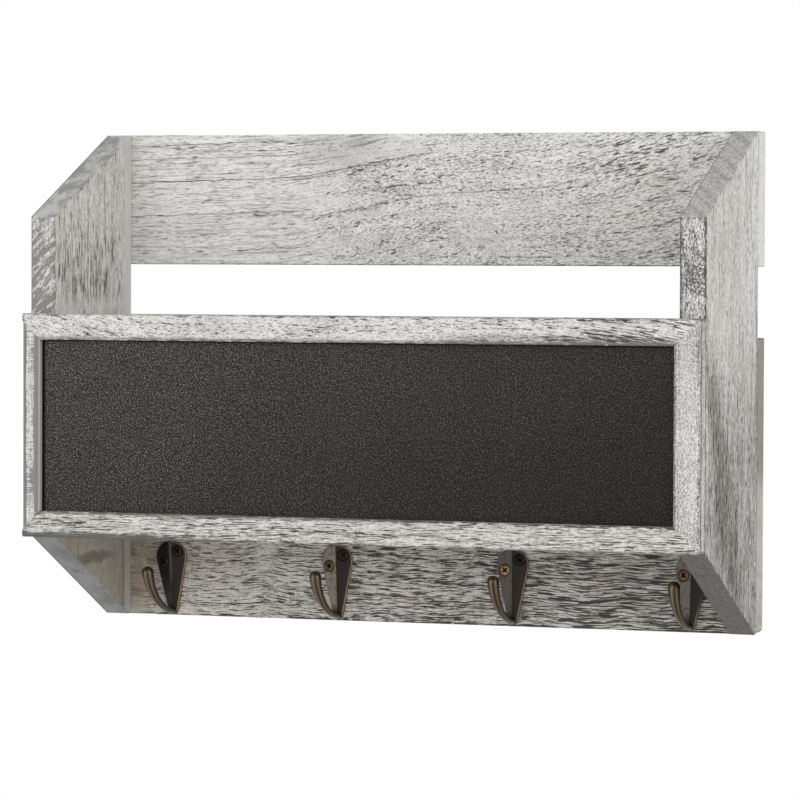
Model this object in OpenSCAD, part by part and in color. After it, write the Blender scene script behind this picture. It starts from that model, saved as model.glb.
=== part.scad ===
// Wall mail organizer: two side panels, two back boards, a bin floor, a mitred front
// frame around a chalkboard panel, and four cast hooks below the bin.
// X runs along the width, Y towards the wall, Z up. The origin is on the wall plane,
// midway between the side panels, at the middle of the upper back board's height.

/* [Overall size] */
// Width over the side panels, mm
width = 321; // [260:1:420]
// Height of the back, foot of the lower board to top of the upper board, mm
height = 229; // [205:1:320]
// Depth from the wall to the front edges of the side panels, mm
depth = 101; // [80:1:140]

/* [Boards] */
// Thickness of the side panels, mm
side_t = 12; // [10:0.5:18]
// Thickness of the two back boards, mm
back_t = 12; // [11:0.5:18]
// Height of the upper back board, mm
upper_h = 61.5; // [45:0.5:75]
// Height of the lower back board, mm
lower_h = 135; // [90:0.5:140]
// Thickness of the bin floor, mm
floor_t = 10; // [8:0.5:14]
// Flat sanded on the edges and corners of every board, mm
ease = 0.5; // [0.2:0.1:0.8]
// Radius of the lower back board's two foot corners, mm
foot_r = 2.7; // [1:0.1:6]

/* [Side panel outline] */
// Drop of the slanted top at the front edge, mm
top_drop = 39.5; // [20:0.5:60]
// Rise of the slanted foot at the front edge, level with the frame's lower edge, mm
foot_rise = 42.5; // [38:0.5:60]
// Level run left ahead of the back boards at the top and the foot, mm
level_run = 2; // [2:0.5:10]

/* [Front frame] */
// Height of the frame, mm
frame_h = 102.5; // [85:0.5:115]
// Width of the two rails, mm
rail_w = 12; // [10:0.2:18]
// Width of the left stile, trimmed flush with the side panel, mm
left_stile_w = 8.8; // [8.4:0.2:18]
// Width of the right stile, mm
right_stile_w = 11.6; // [8.4:0.2:18]
// Thickness of the lip ahead of the chalkboard, mm
lip_t = 2.5; // [1.8:0.1:5]
// Width of the rebate behind the lip, mm
rebate_w = 4.5; // [3:0.5:5]
// Radius on the outer front edges, mm
frame_r = 1.5; // [0.6:0.1:1.7]

/* [Chalkboard] */
// Thickness of the chalkboard panel, mm
chalk_t = 7; // [5:0.5:9]
// Clearance between the panel and the rebate all round, mm
chalk_gap = 0.3; // [0.1:0.1:1]

/* [Hooks] */
// Distance from the outer hooks to the outer faces of the side panels, mm
hook_margin = 32; // [26:0.5:45]
// Height of each plate's foot above the foot of the lower board, mm
hook_foot = [0.7, 1, 1.3, 1.2]; // [0.5:0.1:3]
// Height of a hook plate, mm
plate_h = 34.8; // [31:0.1:35]
// Width of the plate at its round top, mm
plate_w = 15.4; // [15:0.1:18]
// Width of the plate at its foot, mm
plate_foot_w = 5; // [4:0.1:7]
// Thickness of the plate at its widest edge, mm
plate_edge_t = 1.2; // [0.8:0.1:2]
// Thickness of the plate at its ridge, mm
ridge_t = 2.8; // [2.6:0.1:4]
// Distance from the board to the middle of the prong's bulb, mm
prong_reach = 30.4; // [24:0.1:36]
// Height of the prong's tip above the plate's foot, mm
prong_h = 24.5; // [19:0.1:28]
// Thickness of the prong where it leaves the plate, mm
prong_root_d = 2.5; // [2:0.1:3.6]
// Diameter of the bulb at the prong's end, mm
bulb_d = 5.6; // [4.5:0.1:7]
// Drift of each hook from its even place, left to right, mm
hook_drift = [1.9, 0.5, 1.7, 1.7]; // [-2:0.1:2]
// Lean of each hook as fitted, foot to the right, degrees
hook_lean = [3.2, 2.2, 0.7, -1.5]; // [-5:0.1:5]

/* [Hook screws] */
// Diameter of the screw head, mm
head_d = 5; // [4.4:0.1:5.4]
// Diameter of the screw shank, mm
shank_d = 2.6; // [2:0.1:3]
// Length of the screw from the rim of its head to its point, mm
screw_l = 10; // [8:0.5:12]
// Sideways distance of each screw from the ridge, mm
screw_dx = 3.6; // [3.4:0.1:3.8]
// Drop of the right screw below the plate's top, mm
right_screw_drop = 4.8; // [4.4:0.1:6]
// Drop of the left screw below the plate's top, mm
left_screw_drop = 9.8; // [8:0.1:11]

/* [Nails] */
// Length of the nails through the back boards, mm
nail_l = 30; // [24:1:40]
// Diameter of the nails, mm
nail_d = 1.6; // [1.2:0.1:2.2]
// Distance of the end nails from the long edges of a back board, mm
nail_inset = 14; // [13:0.5:18]
// Distance from the outer nails in the bin floor to its ends, mm
floor_nail_margin = 48; // [20:1:80]

/* [Keyhole slots] */
// Distance from each slot to the end of the upper board, mm
keyhole_margin = 60; // [30:1:90]
// Diameter of the entry for a screw head, mm
entry_d = 9.5; // [8:0.1:11]
// Width of the slot for a screw shank, mm
slot_w = 4.5; // [3.5:0.1:5.5]
// Rise of the slot above its entry, mm
slot_rise = 8; // [5:0.5:12]
// Thickness of wood left behind the wall plane to hold the head, mm
keyhole_lip = 3; // [2.5:0.1:4]
// Depth of the slot, mm
keyhole_depth = 8; // [7:0.1:9]

/* [Hidden] */
$fn = 48;
// Clearance round a screw or nail in its hole
fit_gap = 0.05;
// Extra length of a cutting tool past the face it cuts
over = 1;
// Height of the frame's origin above the foot of the lower board
origin_z = height - upper_h / 2;
frame_t = lip_t + chalk_t;
rear_y = -back_t;
front_y = -depth;
inner_w = width - 2 * side_t;
inner_x = inner_w / 2;
// Opening of the frame
open_left = -width / 2 + left_stile_w;
open_right = width / 2 - right_stile_w;
open_low = foot_rise + rail_w;
open_high = foot_rise + frame_h - rail_w;
// Brad heads and points, in shank diameters, and the thickness of a head
nail_head_ratio = 1.6;
nail_point_ratio = 1.5;
nail_head_t = 0.8;
nail_head_d = nail_d * nail_head_ratio;
nail_point = nail_d * nail_point_ratio;
// Number of hooks and the even distance between neighbours
hooks = len(hook_drift);
hook_pitch = (width - 2 * hook_margin) / (hooks - 1);
// Thickness of the hook plate over the middle of a screw
plate_at_screw = ridge_t - (ridge_t - plate_edge_t) * screw_dx / (plate_w / 2);
// Room round a shank in the plate, room round the head's rim, depth of that rim in the plate
plate_room = 0.1;
rim_room = 0.4;
rim_depth = 0.3;
// Countersink in the plate and the cone of the head that seats in it, both at 45 degrees
sink_d = head_d + 2 * rim_room;
sink_t = (sink_d - shank_d) / 2;
head_cone = (head_d - shank_d) / 2;
head_rim = plate_at_screw - rim_depth;
// Dome on the head and the ball that gives it
head_dome = 0.6;
dome_r = (pow(head_d / 2, 2) + pow(head_dome, 2)) / (2 * head_dome);
// Height of the head's cone drawn on past the dome, and the shank's run inside it
head_t = head_cone + head_dome + over;
shank_lap = 0.3;
// Cross slot in the head
cross_w = 0.8;
cross_l = 2.6;
cross_t = 1.2;
// Point of the screw
screw_point = 1;
// Corner nails
v_leg = 4;
v_t = 0.6;
v_depth = 6;
// Undercut of the keyhole slots behind their lip, a little wider than the entry
undercut_room = 0.4;
undercut_d = entry_d + 2 * undercut_room;
// Rings and sides of the prong's mesh
prong_rings = 18;
cap_rings = 5;
prong_sides = 16;
// Height of the prong's underside above the plate's foot where it starts
prong_lift = 0.3;
// Share of the reach, and of the end's height, where each bend of the prong is pulled to
low_pull = 0.43;
high_pull = 0.96;
high_pull_z = 0.51;
// Inset of the prong's sides from the plate's foot, how fast they taper, growth of the bulb
root_inset = 0.4;
root_taper = 1.3;
bulb_growth = 1.6;

// Shared tools

function unit(v) = v / norm(v);

// Places a shape drawn from the foot of the lower board into the part's own frame
module placed() {
    translate([0, 0, -origin_z]) children();
}

// Bar whose under face takes the eased flat off the edge between two points of an outline,
// tilted 45 degrees out from the upper face of a board, or 135 from its lower face
module edge_bar(a, b, z, tilt) {
    run = b - a;
    translate([a[0], a[1], z]) rotate([0, 0, atan2(run[1], run[0])]) rotate([tilt, 0, 0])
        translate([-over, -2 * ease, -ease / sqrt(2)])
            cube([norm(run) + 2 * over, 4 * ease, 2 * ease]);
}

// Outline with each corner cut off, so that three flats meet cleanly at every corner
function eased_outline(outline) = let (n = len(outline)) [for (i = [0 : n - 1], step = [-1, 1])
    outline[i] + ease * unit(outline[(i + step + n) % n] - outline[i])];

// Flat board with a convex outline, its edges eased on both faces
module eased_plate(outline, t) {
    n = len(outline);
    difference() {
        linear_extrude(t) polygon(eased_outline(outline));
        for (i = [0 : n - 1]) {
            edge_bar(outline[i], outline[(i + 1) % n], t, 45);
            edge_bar(outline[i], outline[(i + 1) % n], 0, 135);
        }
    }
}

// Turns a board drawn in plan so that it faces the room, its rear face on the XZ plane
module facing_room() {
    rotate([90, 0, 0]) children();
}

// Turns a board drawn in plan so that it stands across the width, drawn as depth and height
module across_width() {
    rotate([90, 0, 90]) children();
}

// Points of a rectangle's outline
function box_outline(x0, x1, y0, y1) = [[x0, y0], [x1, y0], [x1, y1], [x0, y1]];

// Nail driven from the wall side at x and z, with room round it when grow is above 0
module nail(x, z, grow = 0) {
    translate([x, 0, z]) rotate([90, 0, 0]) {
        translate([0, 0, -grow]) cylinder(d = nail_head_d + 2 * grow, h = nail_head_t + 2 * grow);
        cylinder(d = nail_d + 2 * grow, h = nail_l - nail_point + grow);
        translate([0, 0, nail_l - nail_point + grow])
            cylinder(d1 = nail_d + 2 * grow, d2 = 0, h = nail_point + grow);
    }
}

// Nails into the side panels at some levels, and nails into the bin floor
nail_x = (width - side_t) / 2;
upper_nail_z = [height - nail_inset, height - upper_h + nail_inset];
lower_nail_z = [nail_inset, lower_h / 2, lower_h - nail_inset];
floor_nail_x = inner_x - floor_nail_margin;

module board_nails(levels, grow = 0) {
    for (x = [-nail_x, nail_x], z = levels) nail(x, z, grow);
}

module bin_nails(grow = 0) {
    for (x = [-floor_nail_x, 0, floor_nail_x]) nail(x, foot_rise + floor_t / 2, grow);
}

// Side panels, six-sided, drawn as depth and height
side_outline = [[rear_y, 0], [rear_y, height], [rear_y - level_run, height],
    [front_y, height - top_drop], [front_y, foot_rise], [rear_y - level_run, 0]];

module side_panel(x0) {
    color("gainsboro") placed() difference() {
        translate([x0, 0, 0]) across_width() eased_plate(side_outline, side_t);
        board_nails(concat(upper_nail_z, lower_nail_z), fit_gap);
    }
}

// Back boards

// Keyhole slot open to the wall: entry, shank slot and the undercut that takes the head
module keyhole(x) {
    translate([x, 0, height - upper_h / 2 - slot_rise / 2]) rotate([90, 0, 0]) {
        translate([0, 0, -over]) {
            cylinder(d = entry_d, h = keyhole_lip + over);
            translate([-slot_w / 2, 0, 0]) cube([slot_w, slot_rise, keyhole_lip + over]);
            translate([0, slot_rise, 0]) cylinder(d = slot_w, h = keyhole_lip + over);
        }
        translate([0, 0, keyhole_lip]) {
            cylinder(d = undercut_d, h = keyhole_depth - keyhole_lip);
            translate([0, slot_rise, 0]) cylinder(d = undercut_d, h = keyhole_depth - keyhole_lip);
            translate([-undercut_d / 2, 0, 0])
                cube([undercut_d, slot_rise, keyhole_depth - keyhole_lip]);
        }
    }
}

module upper_back_board() {
    color("gainsboro") placed() difference() {
        facing_room()
            eased_plate(box_outline(-width / 2, width / 2, height - upper_h, height), back_t);
        for (side = [-1, 1]) keyhole(side * (width / 2 - keyhole_margin));
        board_nails(upper_nail_z, fit_gap);
    }
}

// Block that takes the square corner off the foot of the lower board
module foot_corner(side) {
    translate([side * (width / 2 - foot_r), 0, foot_r]) rotate([90, 0, 0]) difference() {
        translate([side > 0 ? 0 : -foot_r - over, -foot_r - over, -over])
            cube([foot_r + over, foot_r + over, back_t + 2 * over]);
        translate([0, 0, -2 * over]) cylinder(r = foot_r, h = back_t + 4 * over);
    }
}

module lower_back_board() {
    color("gainsboro") placed() difference() {
        facing_room() eased_plate(box_outline(-width / 2, width / 2, 0, lower_h), back_t);
        for (side = [-1, 1]) foot_corner(side);
        board_nails(lower_nail_z, fit_gap);
        bin_nails(fit_gap);
        each_screw() rotate([90, 0, 0]) shank(fit_gap);
    }
}

// Bin floor, between the side panels, the lower back board and the frame

module bin_floor() {
    color("silver") placed() difference() {
        translate([0, 0, foot_rise])
            eased_plate(box_outline(-inner_x, inner_x, front_y, rear_y), floor_t);
        bin_nails(fit_gap);
    }
}

// Front frame

// Section of a frame member, u from its outer edge inwards and v from its rear face forwards
module frame_section(w) {
    difference() {
        square([w, frame_t]);
        translate([w - rebate_w, -over]) square([rebate_w + over, chalk_t + over]);
        difference() {
            translate([-over, frame_t - frame_r]) square([frame_r + over, frame_r + over]);
            translate([frame_r, frame_t - frame_r]) circle(r = frame_r);
        }
    }
}

// Full bar for the lower rail, or turned over for the upper one
module rail_bar(up) {
    translate([-width / 2, front_y, up ? foot_rise + frame_h : foot_rise])
        mirror([0, 0, up ? 1 : 0]) across_width()
            linear_extrude(width) rotate(90) frame_section(rail_w);
}

// Full bar for the stile at the left, side -1, or at the right, side 1
module stile_bar(side) {
    w = side < 0 ? left_stile_w : right_stile_w;
    translate([side * width / 2, front_y, foot_rise]) mirror([side > 0 ? 1 : 0, 0, 0])
        mirror([0, 1, 0]) linear_extrude(frame_h) frame_section(w);
}

// Prism whose slanted sides are the two mitres at the ends of a member
module mitre_prism(points) {
    translate([0, front_y + over, 0]) rotate([90, 0, 0])
        linear_extrude(frame_t + 2 * over) polygon(points);
}

// Reach of a mitre's 45 degree line from an inner corner past the outer edges
mitre_run = max(rail_w, left_stile_w, right_stile_w) + over;

module rail_prism(z_in, up) {
    s = up ? mitre_run : -mitre_run;
    mitre_prism([[open_left, z_in], [open_left - mitre_run, z_in + s],
        [open_right + mitre_run, z_in + s], [open_right, z_in]]);
}

module stile_prism(x_in, side) {
    s = side * mitre_run;
    mitre_prism([[x_in, open_low], [x_in, open_high], [x_in + s, open_high + mitre_run],
        [x_in + s, open_low - mitre_run]]);
}

// Folded nail across a mitre: apex on the mitre line, one leg along each member
module v_nail(x_in, z_in, side, up, stile_w) {
    dx = (stile_w - rebate_w) / 2 + rebate_w;
    ax = x_in + side * dx;
    az = z_in + (up ? dx : -dx);
    translate([ax, front_y, az]) mirror([side > 0 ? 1 : 0, 0, 0]) mirror([0, 0, up ? 1 : 0])
        rotate([90, 0, 0]) linear_extrude(v_depth) translate([-v_t / 2, -v_t / 2])
            polygon([[0, 0], [v_leg, 0], [v_leg, v_t], [v_t, v_t], [v_t, v_leg], [0, v_leg]]);
}

module v_nails() {
    for (up = [false, true]) {
        z_in = up ? open_high : open_low;
        v_nail(open_left, z_in, -1, up, left_stile_w);
        v_nail(open_right, z_in, 1, up, right_stile_w);
    }
}

module frame_rail(up) {
    color("whitesmoke") placed() difference() {
        intersection() {
            rail_bar(up);
            rail_prism(up ? open_high : open_low, up);
        }
        v_nails();
    }
}

module frame_stile(side) {
    color("whitesmoke") placed() difference() {
        intersection() {
            stile_bar(side);
            stile_prism(side < 0 ? open_left : open_right, side);
        }
        v_nails();
    }
}

module frame_v_nails() {
    color("dimgray") placed() v_nails();
}

module chalkboard_panel() {
    reach = rebate_w - chalk_gap;
    color([0.2, 0.2, 0.19]) placed() translate([0, front_y, 0]) facing_room()
        linear_extrude(chalk_t) polygon(box_outline(open_left - reach, open_right + reach,
            open_low - reach, open_high + reach));
}

// Hooks, drawn with the plate's foot at the origin, its rear face on XZ and the prong to -Y

// Teardrop outline: a wide round top, a narrow round foot and the two common tangents
module plate_outline() {
    top_r = plate_w / 2;
    low_r = plate_foot_w / 2;
    top_z = plate_h - top_r;
    a = asin((top_r - low_r) / (top_z - low_r));
    n = [cos(a), -sin(a)];
    hi = [0, top_z] + top_r * n;
    lo = [0, low_r] + low_r * n;
    translate([0, top_z]) circle(r = top_r);
    translate([0, low_r]) circle(r = low_r);
    polygon([hi, [-hi[0], hi[1]], [-lo[0], lo[1]], lo]);
}

// Plate with two facets that fall from a middle ridge to the edges
module plate_body() {
    half = plate_w / 2;
    intersection() {
        rotate([90, 0, 0]) linear_extrude(ridge_t) plate_outline();
        translate([0, 0, -over]) linear_extrude(plate_h + 2 * over)
            polygon([[-half, 0], [-half, -plate_edge_t], [0, -ridge_t], [half, -plate_edge_t],
                [half, 0]]);
    }
}

// The prong's middle line, [distance from the board, height], a curve with four control points
prong_root = [ridge_t / 2, prong_root_d / 2 + prong_lift];
prong_end = [prong_reach, prong_h - bulb_d / 2];
prong_low = [prong_reach * low_pull, prong_root_d / 2];
prong_high = [prong_reach * high_pull, prong_end[1] * high_pull_z];

function curve(t) = pow(1 - t, 3) * prong_root + 3 * t * pow(1 - t, 2) * prong_low
    + 3 * t * t * (1 - t) * prong_high + pow(t, 3) * prong_end;
function slope(t) = 3 * pow(1 - t, 2) * (prong_low - prong_root)
    + 6 * t * (1 - t) * (prong_high - prong_low) + 3 * t * t * (prong_end - prong_high);

// Half thickness swells towards the bulb, half width starts at the plate's foot
function half_thick(t) = prong_root_d / 2 + (bulb_d - prong_root_d) / 2 * pow(t, bulb_growth);
function half_wide(t) = max(half_thick(t), (plate_foot_w / 2 - root_inset)
    * (1 - root_taper * t));

// One ring of the prong: centre, direction along the prong, half width and half thickness
function ring(c, d, w, h) = [for (i = [0 : prong_sides - 1]) let (a = 360 * i / prong_sides)
    [w * cos(a), -(c[0] - d[1] * h * sin(a)), c[1] + d[0] * h * sin(a)]];

function prong_points() = let (d = unit(slope(1)), r = bulb_d / 2) concat(
    [for (k = [0 : prong_rings], t = [k / prong_rings],
        p = ring(curve(t), unit(slope(t)), half_wide(t), half_thick(t))) p],
    [for (k = [1 : cap_rings], a = [90 * k / (cap_rings + 1)],
        p = ring(prong_end + r * sin(a) * d, d, r * cos(a), r * cos(a))) p],
    [[0, -(prong_end[0] + r * d[0]), prong_end[1] + r * d[1]]]);

module prong() {
    last = prong_rings + cap_rings;
    n = prong_sides;
    tip = (last + 1) * n;
    faces = concat([[for (i = [0 : n - 1]) i]],
        [for (k = [0 : last - 1], i = [0 : n - 1]) let (j = (i + 1) % n, m = k * n)
            [m + i, m + n + i, m + n + j, m + j]],
        [for (i = [0 : n - 1]) [last * n + i, tip, last * n + (i + 1) % n]]);
    polyhedron(points = prong_points(), faces = faces);
}

// Places of the two screws on a plate: sideways and up from the foot
screw_spots = [[screw_dx, plate_h - right_screw_drop], [-screw_dx, plate_h - left_screw_drop]];

module screw_holes() {
    for (s = screw_spots) translate([s[0], 0, s[1]]) rotate([90, 0, 0]) {
        translate([0, 0, -over]) cylinder(d = shank_d + 2 * plate_room, h = ridge_t + 2 * over);
        translate([0, 0, plate_at_screw - sink_t])
            cylinder(d1 = shank_d, d2 = sink_d + 2 * over, h = sink_t + over);
    }
}

// Puts a hook's own drawing where hook i sits on the lower board
module at_hook(i) {
    x = (i - (hooks - 1) / 2) * hook_pitch + hook_drift[i];
    translate([x, rear_y, hook_foot[i] + plate_h / 2]) rotate([0, -hook_lean[i], 0])
        translate([0, 0, -plate_h / 2]) children();
}

module hook(i) {
    color([0.3, 0.27, 0.23]) placed() at_hook(i) {
        difference() {
            plate_body();
            screw_holes();
        }
        prong();
    }
}

// Screw with an oval cross-slotted head: a cone that opens past the rim, inside the dome's ball
module screw() {
    rotate([90, 0, 0]) difference() {
        union() {
            shank();
            intersection() {
                translate([0, 0, head_rim - head_cone])
                    cylinder(d1 = shank_d, d2 = shank_d + 2 * head_t, h = head_t);
                translate([0, 0, head_rim + head_dome - dome_r]) sphere(r = dome_r);
            }
        }
        for (turn = [45, 135]) rotate([0, 0, turn])
            translate([-cross_l / 2, -cross_w / 2, head_rim + head_dome - cross_t])
                cube([cross_l, cross_w, cross_t + over]);
    }
}

// Point and shank, which ends a little inside the head's cone, with room round them when grow
// is above 0
module shank(grow = 0) {
    d = shank_d + 2 * grow;
    translate([0, 0, head_rim - screw_l - grow]) {
        cylinder(d1 = 0, d2 = d, h = screw_point);
        translate([0, 0, screw_point])
            cylinder(d = d, h = screw_l - screw_point - head_cone + shank_lap);
    }
}

module each_screw() {
    for (i = [0 : hooks - 1], s = screw_spots) at_hook(i)
        translate([s[0], 0, s[1]]) children();
}

module hook_screws() {
    color("darkgoldenrod") placed() each_screw() screw();
}

module nail_set(levels) {
    color("gray") placed() board_nails(levels);
}

module floor_nails() {
    color("gray") placed() bin_nails();
}

side_panel(-width / 2);  // side_panel_left
side_panel(width / 2 - side_t);  // side_panel_right
upper_back_board();
lower_back_board();
bin_floor();
frame_rail(true);  // frame_top_rail
frame_rail(false);  // frame_bottom_rail
frame_stile(-1);  // frame_left_stile
frame_stile(1);  // frame_right_stile
chalkboard_panel();
hook(0);  // hook_1
hook(1);  // hook_2
hook(2);  // hook_3
hook(3);  // hook_4
hook_screws();
nail_set(upper_nail_z);  // upper_board_nails
nail_set(lower_nail_z);  // lower_board_nails
floor_nails();
frame_v_nails();
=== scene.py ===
"""Wall mail organizer: whitewashed boards, a chalkboard front and four cast key hooks."""
import math
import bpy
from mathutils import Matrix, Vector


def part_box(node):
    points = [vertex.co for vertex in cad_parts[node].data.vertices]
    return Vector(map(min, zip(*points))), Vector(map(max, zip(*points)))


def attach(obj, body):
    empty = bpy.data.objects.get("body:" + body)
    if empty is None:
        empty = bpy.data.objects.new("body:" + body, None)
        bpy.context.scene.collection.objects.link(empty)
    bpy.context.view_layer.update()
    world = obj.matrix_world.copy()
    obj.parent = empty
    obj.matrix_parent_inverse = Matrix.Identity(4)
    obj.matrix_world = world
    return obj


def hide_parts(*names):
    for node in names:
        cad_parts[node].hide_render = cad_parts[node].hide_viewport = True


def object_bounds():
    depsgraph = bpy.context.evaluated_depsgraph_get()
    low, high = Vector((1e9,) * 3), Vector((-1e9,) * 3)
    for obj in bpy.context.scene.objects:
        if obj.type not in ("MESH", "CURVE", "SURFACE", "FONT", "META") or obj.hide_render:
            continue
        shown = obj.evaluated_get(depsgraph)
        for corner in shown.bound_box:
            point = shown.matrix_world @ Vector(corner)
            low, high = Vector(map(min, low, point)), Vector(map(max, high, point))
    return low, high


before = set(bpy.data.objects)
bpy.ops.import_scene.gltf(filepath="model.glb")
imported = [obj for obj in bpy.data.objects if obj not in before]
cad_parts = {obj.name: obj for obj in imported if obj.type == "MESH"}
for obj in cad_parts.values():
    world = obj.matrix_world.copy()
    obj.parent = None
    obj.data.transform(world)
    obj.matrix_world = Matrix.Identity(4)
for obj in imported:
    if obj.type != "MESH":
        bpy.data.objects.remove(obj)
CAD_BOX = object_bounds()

from types import SimpleNamespace
import bmesh
import bpy
import numpy as np
from mathutils import Matrix, Vector

bl_info = {
    "name": "Wall mail organizer",
    "version": (1, 0, 0),
    "blender": (4, 5, 0),
    "location": "View3D > Sidebar > Organizer",
    "description": "Dresses a wall mail organizer: washed boards, chalkboard and cast hooks",
    "category": "Object",
}

# A millimetre and the distance within which points are joined, both in metres, how deep the
# grain's bump is on the boards and on the side panels, and where the panels' edge faces start
# and end inwards from their outline, both in millimetres
MM = 0.001
MERGE = 2e-6
FACE_BUMP = 0.05
PANEL_BUMP = 0.045
EDGE_BAND = (0.75, 0.45)
NAILS = ("upper_board_nails", "lower_board_nails", "floor_nails", "frame_v_nails")
HOOKS = ("hook_1", "hook_2", "hook_3", "hook_4")


def box_mm(node):
    """Lowest and highest corner of a CAD node, in millimetres."""
    return tuple(tuple(float(v) / MM for v in corner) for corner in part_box(node))


# Settings

def length(name, text, value):
    """A size in millimetres with its name and description."""
    return bpy.props.FloatProperty(name=name, description=text + ", mm", default=value, min=0.1,
                                   max=400.0)


def colour(name, text, value):
    """A linear colour with its name and description."""
    return bpy.props.FloatVectorProperty(name=name, description=text, default=value, size=3,
                                         min=0.0, max=1.0, subtype="COLOR")


def each_hook(name, text, value):
    """Four numbers, one for each hook, with their name and description."""
    return bpy.props.FloatVectorProperty(name=name, description=text, default=value, size=4)


def watts(name, text, value):
    """The power of a light with its name and description."""
    return bpy.props.FloatProperty(name=name, description=text + ", watts", default=value,
                                   min=0.0, max=500.0)


class HookSizes(bpy.types.PropertyGroup):
    """Sizes of the cast hooks, in millimetres, as in the part"""
    plate_h: length("Plate height", "Height of a hook plate", 34.8)
    plate_w: length("Plate width", "Width of the plate at its round top", 15.4)
    foot_w: length("Foot width", "Width of the plate at its foot", 5.0)
    edge_t: length("Edge thickness", "Thickness of the plate at its widest edge", 1.2)
    ridge_t: length("Ridge thickness", "Thickness of the plate at its ridge", 2.8)
    reach: length("Prong reach", "Distance from the board to the bulb's middle", 30.4)
    prong_h: length("Prong height", "Height of the prong's tip above the foot", 24.5)
    root_d: length("Root thickness", "Thickness of the prong at the plate", 2.5)
    bulb_d: length("Bulb diameter", "Diameter of the bulb at the prong's end", 5.6)
    head_d: length("Screw head", "Diameter of a screw head", 5.0)
    screw_dx: length("Screw offset", "Sideways distance of a screw from the ridge", 3.6)
    right_drop: length("Right screw drop", "Right screw below the plate's top", 4.8)
    left_drop: length("Left screw drop", "Left screw below the plate's top", 9.8)
    margin: length("Margin", "Outer hooks from the lower board's ends", 32.0)
    foot_gap: each_hook("Foot gap", "Each plate's foot above the lower board's foot, mm",
                        (0.7, 1.0, 1.3, 1.2))
    drift: each_hook("Drift", "Drift of each hook from its even place, mm",
                     (1.9, 0.5, 1.7, 1.7))
    lean: each_hook("Lean", "Lean of each hook, foot to the right, degrees",
                    (3.2, 2.2, 0.7, -1.5))


class Finishes(bpy.types.PropertyGroup):
    """Colours of the washed wood, the chalkboard and the metal"""
    wash: colour("Wash", "White of the wash where it covers", (0.82, 0.81, 0.79))
    thin_wash: colour("Thin wash", "Wash where it lies thin", (0.56, 0.55, 0.53))
    pore: colour("Pores", "Dark grey of the open pores", (0.060, 0.058, 0.056))
    bare: colour("Bare wood", "Greyed brown wood where the wash is rubbed off",
                 (0.23, 0.195, 0.16))
    chalk: colour("Chalkboard", "Black of the chalkboard film", (0.019, 0.018, 0.017))
    chalk_fleck: colour("Chalkboard grain", "Lighter tops of its grain", (0.165, 0.16, 0.15))
    bronze: colour("Bronze", "Dark antique bronze of the plates", (0.026, 0.023, 0.020))
    bronze_warm: colour("Warm bronze", "Browner bronze of the prongs", (0.060, 0.043, 0.026))
    # Colour of the painted reflection of the left softbox on the plates' left facets and ridges
    bronze_reflection: colour("Pale bronze", "Dulled grey bronze of the worn facets",
                        (0.215, 0.185, 0.157))
    # Also the colour of the painted highlights on the plates' right rims and the prongs
    rubbed: colour("Rubbed bronze", "Bronze rubbed bright at the edges", (0.36, 0.27, 0.16))
    brass: colour("Brass", "Aged brass of the brighter screws", (0.42, 0.30, 0.13))
    steel: colour("Steel", "Plain steel of the nails", (0.45, 0.45, 0.46))


class Studio(bpy.types.PropertyGroup):
    """Light and camera of the studio"""
    sky: bpy.props.FloatProperty(name="Sky", description="Even light from all round",
                                 default=0.55, min=0.0, max=5.0)
    key: watts("Key light", "Upper left softbox", 10.0)
    front: watts("Front light", "Softbox ahead", 16.0)
    fill: watts("Fill light", "Right softbox", 11.0)
    side: watts("Side light", "Softbox far right", 9.0)
    lens: bpy.props.FloatProperty(name="Lens", description="Focal length on a 36 mm sensor",
                                  default=187.22, min=20.0, max=400.0, subtype="DISTANCE_CAMERA")
    eye: bpy.props.FloatVectorProperty(
        name="Eye", description="Camera place in metres", default=(0.63875, -1.84768, -0.02912),
        size=3, subtype="TRANSLATION", unit="LENGTH")
    turn: bpy.props.FloatVectorProperty(
        name="Turn", description="Camera yaw to the left, pitch up and roll, radians",
        default=(0.3406, -0.0332, 0.0039), size=3)


# Node trees

class Value:
    """An output of a node tree that Python reckons with: every operation adds a math node."""

    def __init__(self, tree, socket):
        self.tree = tree
        self.socket = socket

    def __add__(self, other):
        return self.tree.math("ADD", self, other)

    def __sub__(self, other):
        return self.tree.math("SUBTRACT", self, other)

    def __rsub__(self, other):
        return self.tree.math("SUBTRACT", other, self)

    def __mul__(self, other):
        return self.tree.math("MULTIPLY", self, other)

    def __truediv__(self, other):
        return self.tree.math("DIVIDE", self, other)

    def __abs__(self):
        return self.tree.math("ABSOLUTE", self)

    __radd__ = __add__
    __rmul__ = __mul__


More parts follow.
